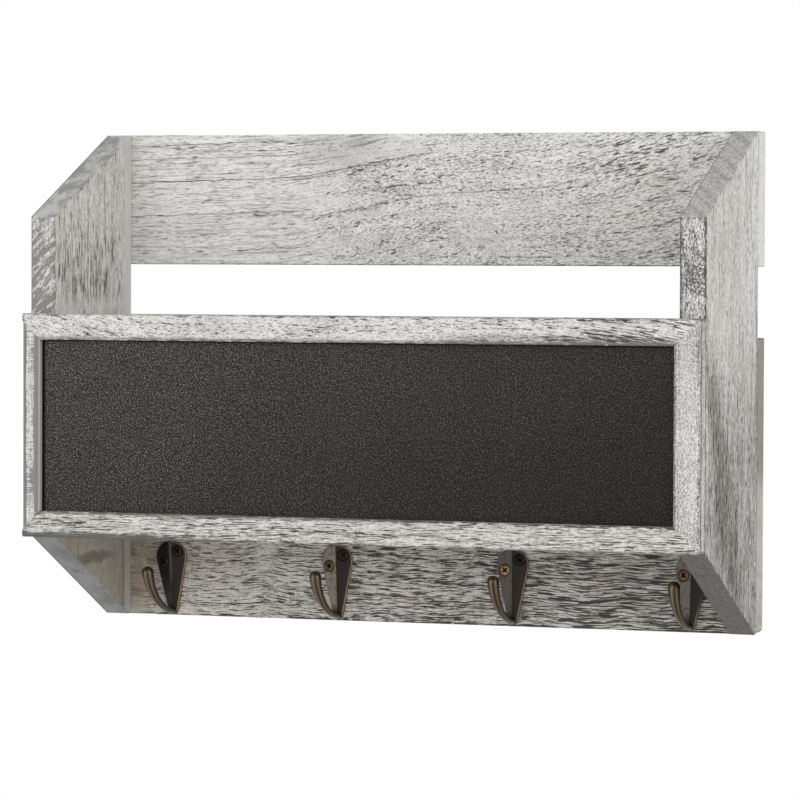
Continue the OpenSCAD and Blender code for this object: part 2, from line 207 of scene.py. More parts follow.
class Tree:
    """Shorthand for a node tree: every call adds a node and returns its output. coats holds
    the colours that go over the grain, in order."""

    def __init__(self, tree):
        self.tree = tree
        self.count = 0
        self.coats = []

    def add(self, kind, **settings):
        """A new node with these settings."""
        node = self.tree.nodes.new(kind)
        for key, value in settings.items():
            setattr(node, key, value)
        node.location = (180 * (self.count % 12), -190 * (self.count // 12))
        self.count += 1
        return node

    def put(self, socket, value):
        """Links a value to a socket, or sets the socket to a plain number or colour."""
        if isinstance(value, Value):
            value = value.socket
        if isinstance(value, bpy.types.NodeSocket):
            self.tree.links.new(value, socket)
        else:
            socket.default_value = value

    def out(self, node, output=0, **inputs):
        """One output of a node, once the inputs given by number or name are put in."""
        for key, value in inputs.items():
            self.put(node.inputs[key], value)
        return Value(self, node.outputs[output])

    def math(self, operation, *values, clamp=False):
        """One step of reckoning with one or two values."""
        node = self.add("ShaderNodeMath", operation=operation, use_clamp=clamp)
        for socket, value in zip(node.inputs, values):
            self.put(socket, value)
        return self.out(node)

    def most(self, first, *others):
        """The largest of some values."""
        for value in others:
            first = self.math("MAXIMUM", first, value)
        return first

    def least(self, first, *others):
        """The smallest of some values."""
        for value in others:
            first = self.math("MINIMUM", first, value)
        return first

    def capped(self, value):
        """A value kept between 0 and 1."""
        return self.math("ADD", value, 0.0, clamp=True)

    def step(self, value, start, end):
        """0 at start, 1 at end, smooth between, either way round."""
        node = self.add("ShaderNodeMapRange", interpolation_type="SMOOTHSTEP")
        return self.out(node, "Result", **{"Value": value, "From Min": start, "From Max": end})

    def blend(self, factor, a, b):
        """Number a turned to b by factor."""
        node = self.add("ShaderNodeMix", data_type="FLOAT")
        for socket, value in zip((0, 2, 3), (factor, a, b)):
            self.put(node.inputs[socket], value)
        return self.out(node)

    def tint(self, factor, a, b, kind="MIX"):
        """Colour a turned to b by factor."""
        node = self.add("ShaderNodeMix", data_type="RGBA", blend_type=kind)
        self.put(node.inputs[0], factor)
        for socket, value in ((6, a), (7, b)):
            self.put(node.inputs[socket], value if isinstance(value, Value) else (*value, 1.0))
        return self.out(node, 2)

    def coat(self, factor, colour_to):
        """Lays a colour over the grain, as far as factor says."""
        self.coats.append((factor, colour_to, "MIX"))

    def stain(self, factor, colour_by):
        """Multiplies the grain's colour by another, as far as factor says."""
        self.coats.append((factor, colour_by, "MULTIPLY"))

    def coated(self, tint):
        """A colour with all the coats and stains on it."""
        for factor, other, kind in self.coats:
            tint = self.tint(factor, tint, other, kind)
        return tint

    def vector(self, x, y, z):
        """Three numbers joined."""
        return self.out(self.add("ShaderNodeCombineXYZ"), X=x, Y=y, Z=z)

    def noise(self, at, scale=1.0, detail=1.0, rough=0.5):
        """Noise at a place given as three numbers."""
        node = self.add("ShaderNodeTexNoise", noise_dimensions="3D")
        return self.out(node, Vector=self.vector(*at), Scale=scale, Detail=detail,
                        Roughness=rough)

    def wander(self, at, swing, scale, detail=3.0, rough=0.6):
        """Noise about nought that swings over swing in all."""
        return (self.noise(at, scale, detail, rough) - 0.5) * swing

    def mark(self, name):
        """A point attribute of the mesh."""
        return self.out(self.add("ShaderNodeAttribute", attribute_name=name), "Fac")

    def place(self):
        """Object coordinates in millimetres, as three numbers."""
        scaled = self.add("ShaderNodeVectorMath", operation="SCALE")
        self.put(scaled.inputs[0], self.out(self.add("ShaderNodeTexCoord"), "Object"))
        scaled.inputs["Scale"].default_value = 1 / MM
        parts = self.add("ShaderNodeSeparateXYZ")
        self.put(parts.inputs[0], self.out(scaled))
        return tuple(self.out(parts, axis) for axis in "XYZ")

    def spot(self, u, v, at, size, soft=1.0):
        """1 inside an oval round the place at, with half sizes size, 0 outside."""
        du = (u - at[0]) * (1 / size[0])
        dv = (v - at[1]) * (1 / size[1])
        r = self.math("SQRT", du * du + dv * dv)
        return self.step(r, 1.0 + 0.5 * soft, 1.0 - 0.5 * soft)

    def course(self, value, slope, *turns):
        """A straight course of value with the given slope, which changes by the second number
        of each turn once value is past the first. The third rounds that turn off, as half the
        sum of the distance past it and the root of its square plus the rounding's square."""
        total = value * slope
        for at, change, soft in turns:
            past = value - at
            size = self.math("SQRT", past * past + soft * soft)
            total = total + (past + size) * (change / 2)
        return total


def new_material(name):
    """An empty material and its tree."""
    material = bpy.data.materials.new(name)
    material.use_nodes = True
    material.node_tree.nodes.clear()
    return material, Tree(material.node_tree)


def close(t, tint, roughness, height=None, metallic=0.0, specular=0.5, depth=0.2):
    """Ends a material in its shader. height, from 0 to 1, gives the bump, and depth is how
    deep that is in millimetres."""
    shader = t.add("ShaderNodeBsdfPrincipled")
    t.put(shader.inputs["Base Color"], tint)
    t.put(shader.inputs["Roughness"], roughness)
    shader.inputs["Metallic"].default_value = metallic
    shader.inputs["Specular IOR Level"].default_value = specular
    if height is not None:
        t.put(shader.inputs["Normal"], t.out(t.add("ShaderNodeBump"), Strength=1.0,
                                             Distance=MM * depth, Height=height))
    t.put(t.add("ShaderNodeOutputMaterial").inputs["Surface"], t.out(shader))


GRAIN_INPUTS = (("Along", 0.0), ("Across", 0.0), ("Depth", 0.0), ("Seed", 0.0), ("Bend", 3.0),
                ("Fine", 0.5), ("Dash", 0.5), ("Dash run", 0.0), ("Dash width", 0.5),
                ("Line", 0.5), ("Ring", 0.5), ("Rub", 0.0), ("Cloud", 0.5), ("Grit", 0.5),
                ("Haze", 0.0), ("Crowd", 1.0), ("Strength", 0.89))


def grain_group(finish):
    """Washed open-grained wood. Along, Across and Depth are millimetres along the grain, over
    the face and into the board, and Dash run is Along counted in dashes. The grain bends with
    a slow noise. Pores are a noise drawn out along the grain and cut at a threshold, once fine
    and once coarse, lines are a longer one, and rings are the places where the bent distance
    across, plus a slow noise, passes a whole number of ring widths. Haze is wash that lies
    over all of it, Crowd how unevenly the pores lie and Strength how dark they are."""
    tree = bpy.data.node_groups.new("Washed grain", "ShaderNodeTree")
    for name, value in GRAIN_INPUTS:
        socket = tree.interface.new_socket(name, in_out="INPUT", socket_type="NodeSocketFloat")
        socket.default_value = value
    for name, kind in (("Colour", "NodeSocketColor"), ("Height", "NodeSocketFloat"),
                       ("Ink", "NodeSocketFloat")):
        tree.interface.new_socket(name, in_out="OUTPUT", socket_type=kind)
    t = Tree(tree)
    given = {s.name: Value(t, s) for s in t.add("NodeGroupInput").outputs}
    along, across, depth, seed = (given[k] for k in ("Along", "Across", "Depth", "Seed"))

    def field(run, rise, deep, shift, detail=1.0, rough=0.5, c=across):
        """Noise whose features are run long, rise wide and deep thick, in millimetres."""
        return t.noise((along * (1 / run) + (seed + shift), c * (1 / rise), depth * (1 / deep)),
                       1.0, detail, rough)

    slow = field(75.0, 22.0, 22.0, 3.1, 1.5) - 0.5
    quick = field(13.0, 5.0, 8.0, 7.7, 1.0) - 0.5
    bent = across + given["Bend"] * (slow * 2.0 + quick * 0.5)
    # Rings, each a narrow crowd of pores along a faint line
    ring_place = bent * (1 / 8.0) + field(90.0, 30.0, 30.0, 11.3) * 2.0
    phase = t.math("FRACT", ring_place)
    ring_crowd = t.step(phase, 0.8, 0.97) * t.step(phase, 1.0, 0.97) * given["Ring"]
    thread = t.step(phase, 0.93, 0.965) * t.step(phase, 1.0, 0.97)
    thread = thread * t.step(field(22.0, 3.0, 5.0, 19.9, 2.0), 0.4, 0.62) * given["Ring"]
    # Pores
    crowd = field(30.0, 5.0, 7.0, 23.3, 2.0, 0.6, c=bent) - 0.5
    crowd = crowd * 0.2 * given["Crowd"] + ring_crowd * 0.16
    crowd = crowd + given["Rub"] * 0.24

    def pores(size, share, shift, level, soft, detail, rough):
        """Slivers of a noise drawn out along the grain, size times the dash's own size."""
        at = (given["Dash run"] * (1 / size) + (seed + shift),
              bent / (given["Dash width"] * (0.5 + 0.5 * size)), depth * 1.6)
        return t.step(t.noise(at, 1.0, detail, rough) - (level - share * 0.2 - crowd), 0.0, soft)

    coarse = pores(1.0, given["Dash"], 0.0, 0.74, 0.05, 2.4, 0.64)
    fine = pores(0.45, given["Fine"], 37.0, 0.68, 0.12, 1.8, 0.6)
    # Fine long lines
    line = field(26.0, 0.95, 1.2, 31.7, 2.2, 0.65, c=bent)
    line = t.step(line + crowd * 0.3, 0.52, 0.7) * given["Line"]
    # Wash
    cloud = field(24.0, 8.0, 12.0, 41.1, 4.0, 0.62, c=bent)
    thin = t.capped(t.step(cloud, 0.42, 0.72) * given["Cloud"] + given["Rub"] * 0.45)
    fleck = field(1.3, 0.9, 1.0, 53.9, 2.0, 0.7)
    grit = t.step(field(1.15, 0.85, 0.9, 87.1, 1.0), 0.55, 0.68) * given["Grit"]
    brush = field(9.0, 0.8, 0.9, 61.3, 2.0, 0.6, c=bent)
    keep = 1.0
    for part, most in ((coarse, given["Strength"]), (fine, 0.55), (line, 0.42), (thread, 0.5),
                       (grit, 0.42)):
        keep = keep * (1.0 - part * most)
    ink = (1.0 - keep) * (1.0 - given["Haze"])
    paint = t.tint(thin, finish.wash, finish.thin_wash)
    paint = t.tint(t.capped((fleck - 0.47) * 1.9 + (brush - 0.47) * 2.1), paint,
                   finish.thin_wash)
    hue = t.step(field(30.0, 9.0, 12.0, 71.7, 2.0), 0.50, 0.72)
    dark = t.tint(hue, finish.pore, tuple(v * 0.5 for v in finish.bare))
    result = t.add("NodeGroupOutput")
    t.put(result.inputs["Colour"], t.tint(ink, paint, dark))
    t.put(result.inputs["Height"], (fleck + brush) * 0.3 - ink)
    t.put(result.inputs["Ink"], ink)
    return tree


def close_grain(t, group, along, across, depth, values, bump, cover=None):
    """Ends a wooden material in the grain group, whose inputs values holds by name. bump is
    the depth of the grain's relief. cover, a factor and a colour, goes under the coats."""
    node = t.add("ShaderNodeGroup", node_tree=group)
    for name, value in dict(values, Along=along, Across=across, Depth=depth).items():
        t.put(node.inputs[name.replace("_", " ")], value)
    tint, height, ink = (t.out(node, name) for name in ("Colour", "Height", "Ink"))
    if cover:
        tint = t.tint(cover[0], tint, cover[1])
    close(t, t.coated(tint), t.blend(ink, 0.6, 0.85), height, specular=0.2, depth=bump)


def box_edge(t, place, low, high):
    """Distance in millimetres from a point on a box's face to the nearest edge: the sum of the
    three distances to the faces less the largest, as the smallest is nought on a face."""
    gaps = [(b - a) / 2 - abs(value - (a + b) / 2) for value, a, b in zip(place, low, high)]
    return gaps[0] + gaps[1] + gaps[2] - t.most(*gaps), gaps


def worn_edge(t, edge, place, reach, seed):
    """1 at an edge and 0 past reach, uneven along it."""
    x, y, z = place
    return t.step(edge + t.wander((x + seed, y, z), 3.4, 0.16, 3.0, 0.65), reach, 0.1)


def washed_board(node, group, finish, grain, seed, settings, more, wear, wear_strength):
    """A material for one board. grain is the axis of its grain and settings feed the grain
    group. more(t, place, values, gaps) may change those values, may set flow, the rise of the
    grain in millimetres, and may lay coats and stains over the grain. The edges are rubbed as
    far in as wear and as much as wear_strength."""
    material, t = new_material("washed_" + node)
    place = t.place()
    x, y, z = place
    edge, gaps = box_edge(t, place, *box_mm(node))
    along, across = (x, z) if grain == "x" else (z, x)
    values = dict(settings, Seed=seed, Rub=worn_edge(t, edge, place, wear, seed) * wear_strength)
    if more:
        more(t, place, values, gaps)
    across = across - values.pop("flow", 0.0)
    pace = values.pop("Dash_length")
    values.setdefault("Dash_run", along * (1 / pace))
    edge_tint = t.step(edge + t.wander(place, 2.0, 0.35, 2.0, 0.5), 0.8, 0.0)
    close_grain(t, group, along, across, y, values, FACE_BUMP,
                (edge_tint * (0.5 * wear_strength), finish.bare))
    return material


def raise_values(values, **changes):
    """Adds to some of the values that feed the grain group."""
    for name, change in changes.items():
        values[name] = values[name] + change


def set_material(node, material):
    """Gives a CAD node's own object a material in all its slots."""
    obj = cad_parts[node]
    if not obj.material_slots:
        obj.data.materials.append(material)
    for slot in obj.material_slots:
        slot.material = material


# Boards

# The side panels' outline in millimetres, as in the part: the level bit at the rear of the
# top and the foot, and how far the two slants fall and rise
PANEL_LEVEL = 2.0
PANEL_DROP = 39.5
PANEL_RISE = 42.5


def panel_outline(y, z, low, high):
    """Distances inwards from the six sides of a side panel: rear, front, top, foot, and the
    slants at the top and the foot, whose lines run from the level bit to the front edge."""
    turn_y = high[1] - PANEL_LEVEL
    gaps = {"rear": high[1] - y, "front": y - low[1], "top": high[2] - z, "foot": z - low[2]}
    run = turn_y - low[1]
    for name, rise, level, sign in (("slant_top", PANEL_DROP, high[2], 1.0),
                                    ("slant_foot", PANEL_RISE, low[2], -1.0)):
        size = math.hypot(run, rise)
        part_y = (y - turn_y) * (rise / size)
        part_z = (z - level) * (-sign * run / size)
        gaps[name] = part_y + part_z
    return gaps


def left_panel_tone(t, place, values, on):
    """Left panel: a beige inner face with heavy streaks towards the frame and a smooth bluish
    strip at the rear, a brushed front edge, clouds on the upper slant, dark mottle below."""
    x, y, z = place
    inner = on.right_half * on.face
    cloud_at = t.noise((x, y * 0.6, z * 0.35), 0.07, 4.0, 0.62)
    mottle = t.noise((x, y * 0.5, z * 0.5), 0.13, 3.0, 0.62)
    rear_strip = t.step(on.rear_gap, 9.5, 7.0) * inner
    above = t.step(z, -100.0, -90.0)
    heavy = t.spot(y, z, (-66.0, -34.0), (34.0, 18.0), 1.4) * inner
    raise_values(values, Dash=heavy * 0.45, Line=heavy * 0.5)
    haze = t.step(z, -42.0, -51.0) * t.step(cloud_at, 0.38, 0.6)
    values["Haze"] = t.capped(haze * above * 0.6 + rear_strip * 0.55)
    t.stain(inner * 0.85, (0.96, 0.94, 0.9))
    dim = t.step(z, -150.0, -158.0) * inner
    values["Haze"] = t.capped(values["Haze"] + dim * 0.5)
    t.stain(dim, (0.56, 0.525, 0.475))
    t.stain(t.step(cloud_at, 0.48, 0.7) * inner * 0.6, (0.78, 0.68, 0.56))
    smear_z = t.wander(place, 7.0, 0.2, 3.0, 0.6)
    smear = t.spot(y, z + smear_z, (-58.0, -168.5), (22.0, 2.6), 0.9)
    t.coat(smear * inner * 0.75, (0.13, 0.12, 0.11))
    groove = (t.step(on.rear_gap, 9.2, 8.8) * t.step(on.rear_gap, 8.0, 8.4)
              * ((1.0 - above) * inner))
    t.coat(groove * t.step(cloud_at, 0.3, 0.5), (0.1, 0.09, 0.08))
    t.coat(rear_strip * 0.5, (0.56, 0.58, 0.585))
    # Front edge, brushed in patches that rise to the right
    swipe = t.noise((x * 0.2 + z * -0.06, z * 0.3 + x * -0.26, values["Seed"]), 1.0, 3.0, 0.65)
    t.stain(on.front, (0.86, 0.86, 0.855))
    fall = (-20.0 - z) * 0.0014
    t.coat(t.step(swipe + fall, 0.46, 0.54) * on.front * 0.85, (0.2, 0.19, 0.18))
    t.coat(on.front * t.step(on.grit, 0.5, 0.64) * 0.4, (0.12, 0.118, 0.115))
    raise_values(values, Dash=on.front * -0.3)
    t.coat(on.front * t.step(on.left_gap, 1.1, 0.5) * 0.7, (0.24, 0.215, 0.185))
    # Slants with dark outer edges
    t.coat(on.top_slant * 0.85, (0.48, 0.485, 0.485))
    t.coat(on.top_slant * t.step(mottle, 0.42, 0.64) * 0.8, (0.22, 0.215, 0.205))
    t.coat(on.foot_slant * 0.9, (0.27, 0.27, 0.265))
    t.coat(on.foot_slant * t.step(mottle, 0.42, 0.62) * 0.5, (0.12, 0.118, 0.115))
    t.coat(on.slant * t.step(on.grit, 0.5, 0.64) * 0.28, (0.1, 0.098, 0.095))
    t.coat(on.slant * t.step(on.left_gap, 1.5, 0.6) * 0.85, (0.085, 0.08, 0.073))


def right_panel_tone(t, place, values, on):
    """Right panel: fine fibres on the outer face with a greyer worn band low in its middle,
    salt and pepper on the front edge, speckle on the upper slant and taupe on the lower."""
    x, y, z = place
    leaning = y + (z + 135.0) * 0.42
    ragged = t.wander((0.0, y * 1.2, z * 0.12), 24.0, 0.3, 2.0, 0.6)
    band = t.spot(leaning + ragged, z, (-67.0, -128.0), (16.0, 58.0), 0.9) * on.face
    rear = t.spot(y + ragged * 0.6, z, (-8.0, -78.0), (9.0, 40.0), 0.9) * on.face
    dull = t.most(band, rear * 0.85)
    lower = t.step(z, -50.0, -125.0) * on.face
    raise_values(values, Line=dull * 0.6 + lower * 0.3, Dash=dull * 0.22 + lower * 0.26,
                 Fine=lower * 0.4)
    values["Strength"] = 0.95
    t.stain(dull * 0.7, (0.56, 0.54, 0.51))
    t.stain(on.face * 0.6, (0.97, 0.96, 0.945))
    slow = t.noise((x, y * 0.9, z * 0.3), 0.06, 2.0)
    t.stain(t.step(slow, 0.42, 0.62) * on.face * 0.6, (0.8, 0.79, 0.77))
    t.stain(t.step(z, -40.0, -190.0) * on.face * 0.62, (0.58, 0.575, 0.565))
    # Front edge, dark at its top and low down on the right
    raise_values(values, Dash=on.front * 0.55, Fine=on.front * 0.4)
    patch = t.noise((x * 1.3, y, z * 0.6), 0.16, 3.0, 0.6)
    for at, half, more in (
            ((155.5, -37.0), (6.0, 7.0), 0.26), ((154.0, -6.0), (12.0, 3.5), 0.2),
            ((155.0, -20.0), (4.5, 11.0), -0.10), ((156.0, -47.5), (6.0, 4.0), -0.3)):
        patch = patch + t.spot(x, z, at, half, 0.8) * more
    dark = t.step(patch, 0.475, 0.575)
    t.coat(dark * on.front * t.step(on.grit, 0.36, 0.6), (0.11, 0.105, 0.1))
    side_dark = on.front * t.step(on.left_gap, 1.9, 0.9)
    t.coat(side_dark * t.step(on.grit, 0.36, 0.56) * 0.85, (0.1, 0.095, 0.09))
    # Slants with darker bands above and streaks below
    bandy = t.noise((y * 0.16 + x * 0.2, 0.0, values["Seed"]), 1.0, 2.0, 0.6)
    t.coat(on.top_slant * 0.9, (0.42, 0.41, 0.395))
    t.coat(on.top_slant * t.step(bandy, 0.45, 0.6) * 0.55, (0.22, 0.21, 0.2))
    t.coat(on.foot_slant * 0.95, (0.12, 0.109, 0.099))
    streak = t.noise((x * 0.22, 0.0, z * 1.5 + x * 0.6), 1.0, 3.0, 0.65)
    t.coat(on.foot_slant * t.step(streak, 0.5, 0.62) * 0.65, (0.05, 0.044, 0.04))
    t.coat(on.foot_slant * t.step(streak, 0.42, 0.32) * 0.3, (0.32, 0.3, 0.28))
    t.coat(on.slant * t.step(on.grit, 0.5, 0.62) * 0.5, (0.1, 0.097, 0.093))
    t.coat(on.slant * t.step(on.grit, 0.46, 0.36) * t.blend(on.foot_slant, 0.5, 0.15),
           (0.7, 0.69, 0.67))
    t.coat(on.slant * t.step(on.left_gap, 1.2, 0.4) * 0.6, (0.11, 0.105, 0.1))


def panel_material(node, group, seed, dash, tone):
    """A side panel: upright grain on its faces, with dashes dash millimetres long, and shorter
    ones on the front edge. tone(t, place, values, on) adds what only this panel shows, where
    on holds the masks of the face, the front edge and the slants."""
    low, high = box_mm(node)
    material, t = new_material("washed_" + node)
    place = t.place()
    x, y, z = place
    gaps = panel_outline(y, z, low, high)
    middle = (low[0] + high[0]) / 2
    face_gap = (high[0] - low[0]) / 2 - abs(x - middle)
    edge = t.most(t.least(*gaps.values()), face_gap)
    top_slant, foot_slant, front = (
        t.step(gaps[name], *EDGE_BAND) * t.step(face_gap, 0.0, 0.05)
        for name in ("slant_top", "slant_foot", "front"))
    slant = t.most(top_slant, foot_slant)
    face = 1.0 - t.most(slant, front)
    values = dict(Seed=seed, Bend=1.4, Rub=worn_edge(t, edge, place, 1.0, seed) * 0.6,
                  Fine=face * 0.8 + front * 0.8, Dash=face * 0.62 + front * 0.45,
                  Dash_run=z / (dash + front * -4.2), Dash_width=0.68,
                  Line=face * 0.8 + slant * 0.15, Ring=face * 0.35, Cloud=0.5 + slant * 0.5,
                  Grit=0.8 + front * 0.6)
    tone(t, place, values, SimpleNamespace(
        face=face, front=front, slant=slant, top_slant=top_slant, foot_slant=foot_slant,
        right_half=t.step(x, middle - 1.0, middle + 1.0), left_gap=x - low[0],
        rear_gap=gaps["rear"], grit=t.noise(place, 1.15, 1.5, 0.6)))
    close_grain(t, group, z, t.blend(front, y, x), x, values, PANEL_BUMP)
    return material


def grain_line(t, bent, x, at, ends, jitter):
    """1 on one grain line, the place where the bent height is at, between two ends along x."""
    on = t.step(abs(bent + jitter - at), 0.42, 0.084)
    here = t.step(x, ends[0] - 6.0, ends[0] + 6.0) * t.step(x, ends[1] + 6.0, ends[1] - 6.0)
    return on * here


def upper_board_more(t, place, values, gaps):
    """Upper board: grain that runs level at the left, climbs past the middle, runs level again
    under an arch and climbs at the right, most along the top, with a few stronger grain lines,
    swirled pores in the middle, bold dashes at the right end and painted shade towards both
    ends next to the side panels."""
    x, y, z = place
    flow = t.course(x + 150.0, 0.025, (88.0, 0.16, 8.0), (155.0, -0.15, 12.0))
    climb = t.course(x + 150.0, 0.0, (210.0, 0.27, 12.0), (262.0, -0.07, 15.0))
    flow = flow + climb * (z * 0.0123 + 0.63)
    swirl = t.most(t.spot(x, z, (-27.0, -16.0), (22.0, 17.0), 1.5),
                   t.spot(x, z, (-9.0, 8.0), (24.0, 9.0), 1.2) * 0.7,
                   t.spot(x, z, (31.0, -17.0), (14.0, 13.0), 1.5))
    turn = t.noise((x, 3.0, z * 1.3), 0.16, 1.0) - 0.5
    flow = flow + swirl * turn * 6.5
    knot = t.spot(x, z, (27.5, -22.5), (9.0, 9.0), 2.0)
    values["flow"] = flow + knot * 4.0
    middle = t.step(x, -66.0, -30.0)
    end = t.step(x, 55.0, 95.0)
    bent = z - flow
    jitter = t.wander(place, 1.6, 0.11, 2.0)
    lines = 0.0
    for at, first, last, strong in (
            (25.4, -160, -60, 0.8), (18.8, -160, -58, 0.75), (10.9, -160, -90, 0.45),
            (8.1, -160, 4, 1.0), (-8.0, -158, -60, 0.9), (-11.6, -52, 66, 0.85),
            (-22.5, -160, -138, 0.7), (-26.5, -95, -66, 0.6), (13.0, -95, -40, 0.4),
            (-15.5, -150, -70, 0.4), (21.5, -30, 10, 0.6)):
        lines = t.most(lines, grain_line(t, bent, x, at, (first, last), jitter) * strong)
    lines = t.most(lines, grain_line(t, z, x, -26.6, (36, 60), jitter) * 0.7)
    patch = t.spot(x, z, (-42.0, 24.0), (27.0, 9.5), 1.0) * t.step(x, -72.0, -58.0)
    bold = t.spot(x, z, (-11.0, 10.0), (23.0, 7.5), 0.9)
    top_end = t.spot(x, z, (112.0, 20.0), (50.0, 12.0), 1.2)
    arch = t.step(bent, -12.0, -13.5) * t.spot(x, z, (32.0, -6.0), (34.0, 10.0), 0.8)
    calm = t.step(bent, 8.4, 9.4) * t.step(x, 2.0, -12.0) * middle
    share = t.blend(middle, 0.46, 0.72) + end * 0.02 + (lines * 0.42 + bold * 0.24)
    values.update(Cloud=t.blend(end, 0.45, 0.2),
                  Dash=share - (calm * 0.34 + arch * 0.2) + top_end * 0.17,
                  Fine=t.blend(middle, 0.7, 0.92) - calm * 0.5,
                  Line=t.blend(middle, 1.15, 0.22) + (calm * 0.8 + patch * 0.5),
                  Ring=t.blend(middle, 0.30, 0.20), Haze=t.step(gaps[0], 0.3, 0.1) * 0.75,
                  Dash_run=t.course(x, 1 / 10.0, (-52.0, 1 / 3.4 - 1 / 10.0, 8.0),
                                    (72.0, 1 / 5.2 - 1 / 3.4, 10.0)))
    t.stain(patch * 0.55, (0.62, 0.62, 0.62))
    broken = t.step(t.noise((x * 0.25, 0.0, z), 1.0, 2.0, 0.6), 0.3, 0.46)
    t.coat(lines * broken * 0.72, (0.12, 0.117, 0.114))
    t.coat(t.spot(x, z, (27.5, -22.5), (1.5, 1.2), 1.2) * 0.5, (0.16, 0.155, 0.15))
    warm = t.most(t.spot(x, z, (110.0, 9.0), (16.0, 9.0), 1.6),
                  t.spot(x, z, (102.0, -9.0), (14.0, 9.0), 1.6), t.step(x, -140.0, -156.0))
    # Painted shade next to the side panels: darker towards the left end, a little towards the
    # right
    corner = t.most(t.step(x, -115.0, -165.0), t.step(x, 96.0, 125.0) * 0.25)
    t.stain(corner * 0.42, (0.58, 0.575, 0.565))
    t.stain(warm * 0.4, (0.99, 0.94, 0.9))


def lower_board_more(t, place, values, gaps):
    """Lower board: heavy long dashes, denser to the right, brown where it shows by the first
    hook and grey-beige all over."""
    x, y, z = place
    right = t.step(x, 20.0, 90.0)
    values.update(Dash=t.blend(t.step(x, -90.0, -20.0), 0.96, 1.24) + right * 0.1,
                  Line=t.blend(right, 0.6, 1.0), flow=t.wander((x, 0.0, 3.7), 7.0, 0.03, 2.0, 0.5),
                  Dash_run=t.course(x, 1 / 7.5, (55.0, 1 / 11.0 - 1 / 7.5, 12.0)))
    on_end = t.step(gaps[0], 0.3, 0.1)
    fresh = t.step(z, -122.0, -135.0) * t.step(x, 0.0, 10.0)
    t.stain(on_end * t.blend(fresh, 1.0, 0.4), (0.46, 0.435, 0.405))
    t.stain(1.0, (0.87, 0.845, 0.805))
    face = t.step(y - box_mm("lower_back_board")[0][1], 2.0, 1.0)
    bare = t.spot(x, z, (-150.0, -176.0), (13.0, 26.0), 0.9) * face
    values["Haze"] = t.capped(on_end * 0.8 + bare * 0.6)
    brown = (t.spot(x, z, (-146.0, -176.0), (13.0, 22.0), 1.2)
             * t.step(t.noise((x, y, z * 0.5), 0.12, 3.0, 0.6), 0.3, 0.52))
    t.stain(brown * face * 0.9, (0.46, 0.38, 0.3))
    soft = t.spot(x, z, (-118.0, -168.0), (22.0, 10.0), 1.6)
    t.stain(soft * face * 0.5, (0.72, 0.65, 0.57))


# Frame

def mitre_line(t, x, z, corners):
    """1 on the faint broken lines of the four mitres, which leave the opening's corners at 45
    degrees and show best close to them."""
    total = 0.0
    for cx, cz, sx, sz in corners:
        dx, dz = (x - cx) * sx, (z - cz) * sz
        off = abs((dx - dz) * math.sqrt(0.5))
        near = t.step(off, 0.3, 0.05) * t.step(dx, -0.2, 0.0)
        total = t.most(total, near * t.step(dx, 9.0, 0.5))
    return total * t.step(t.noise((x, 0.0, z), 0.9, 2.0, 0.6), 0.38, 0.6)


def frame_material(node, group, finish, grain, seed, settings, corners, tone):
    """A frame member: brighter wash, rubbed brown at the outer round, mitre lines, and what
    tone(t, place, values, low, high) adds for this member alone."""
    low, high = box_mm(node)

    def more(t, place, values, gaps):
        tone(t, place, values, low, high)
        t.stain(1.0, (0.9, 0.895, 0.885))
        t.coat(mitre_line(t, place[0], place[2], corners) * 0.5, (0.07, 0.065, 0.06))

    return washed_board(node, group, finish, grain, seed, settings, more, 1.3, 0.6)


def rail_top_tone(t, place, values, low, high):
    """Top rail: a grey-brown strip along its inner edge, a thin brown one along the top, wavy
    dark lines at the right and a dark worn stretch over the strip."""
    x, y, z = place
    off = z - low[2]
    wander = t.wander(place, 2.2, 0.14, 3.0, 0.65)
    t.coat(t.step(off + wander, 2.0, 1.1) * t.step(off, 0.25, 0.5) * 0.62,
           (0.25, 0.235, 0.215))
    t.coat(t.step(high[2] - z + wander, 1.1, 0.2) * 0.5, (0.27, 0.235, 0.19))
    stretch = t.spot(x, z + wander, (97.0, low[2] + 1.4), (54.0, 3.0), 0.8)
    values["Rub"] = t.capped(values["Rub"] + stretch * 0.32)
    t.coat(stretch * 0.22, (0.1, 0.095, 0.09))
    wavy = t.step(x, 70.0, 120.0)
    left = t.step(x, -90.0, -135.0)
    values.update(flow=t.course(x, -0.24, (-95.0, 0.24, 12.0), (108.0, -0.16, 12.0)),
                  Line=t.blend(wavy, 0.35, 1.15), Dash=t.blend(wavy, 0.7, 0.98) + left * 0.04,
                  Fine=0.75, Strength=t.blend(wavy, 0.90, 0.98),
                  Dash_run=t.course(x, 1 / 4.2, (95.0, 1 / 8.0 - 1 / 4.2, 10.0)))


def rail_low_tone(t, place, values, low, high):
    """Bottom rail: bright, worn grey along its lower edge at the left, a thin grey strip above."""
    x, y, z = place
    wander = t.wander(place, 3.0, 0.16, 3.0, 0.65)
    off = z - low[2] + wander
    left = t.step(x, -40.0, -110.0) * t.step(off, 3.2, 1.5)
    values["Rub"] = t.capped(values["Rub"] + left * 0.55)
    t.coat(left * 0.7, (0.17, 0.165, 0.16))
    t.coat(t.step(off, 1.2, 0.3) * 0.4, (0.22, 0.21, 0.2))
    above = high[2] - z
    strip = (t.step(above + wander * 0.4, 1.5, 0.9) * t.step(above, 0.3, 0.5)
             * t.step(x, 60.0, -20.0))
    t.coat(strip * 0.65, (0.26, 0.25, 0.235))
    values["Line"] = t.blend(t.step(x, -150.0, -60.0), 0.95, 0.75)
    t.stain(1.0, (0.94, 0.935, 0.92))


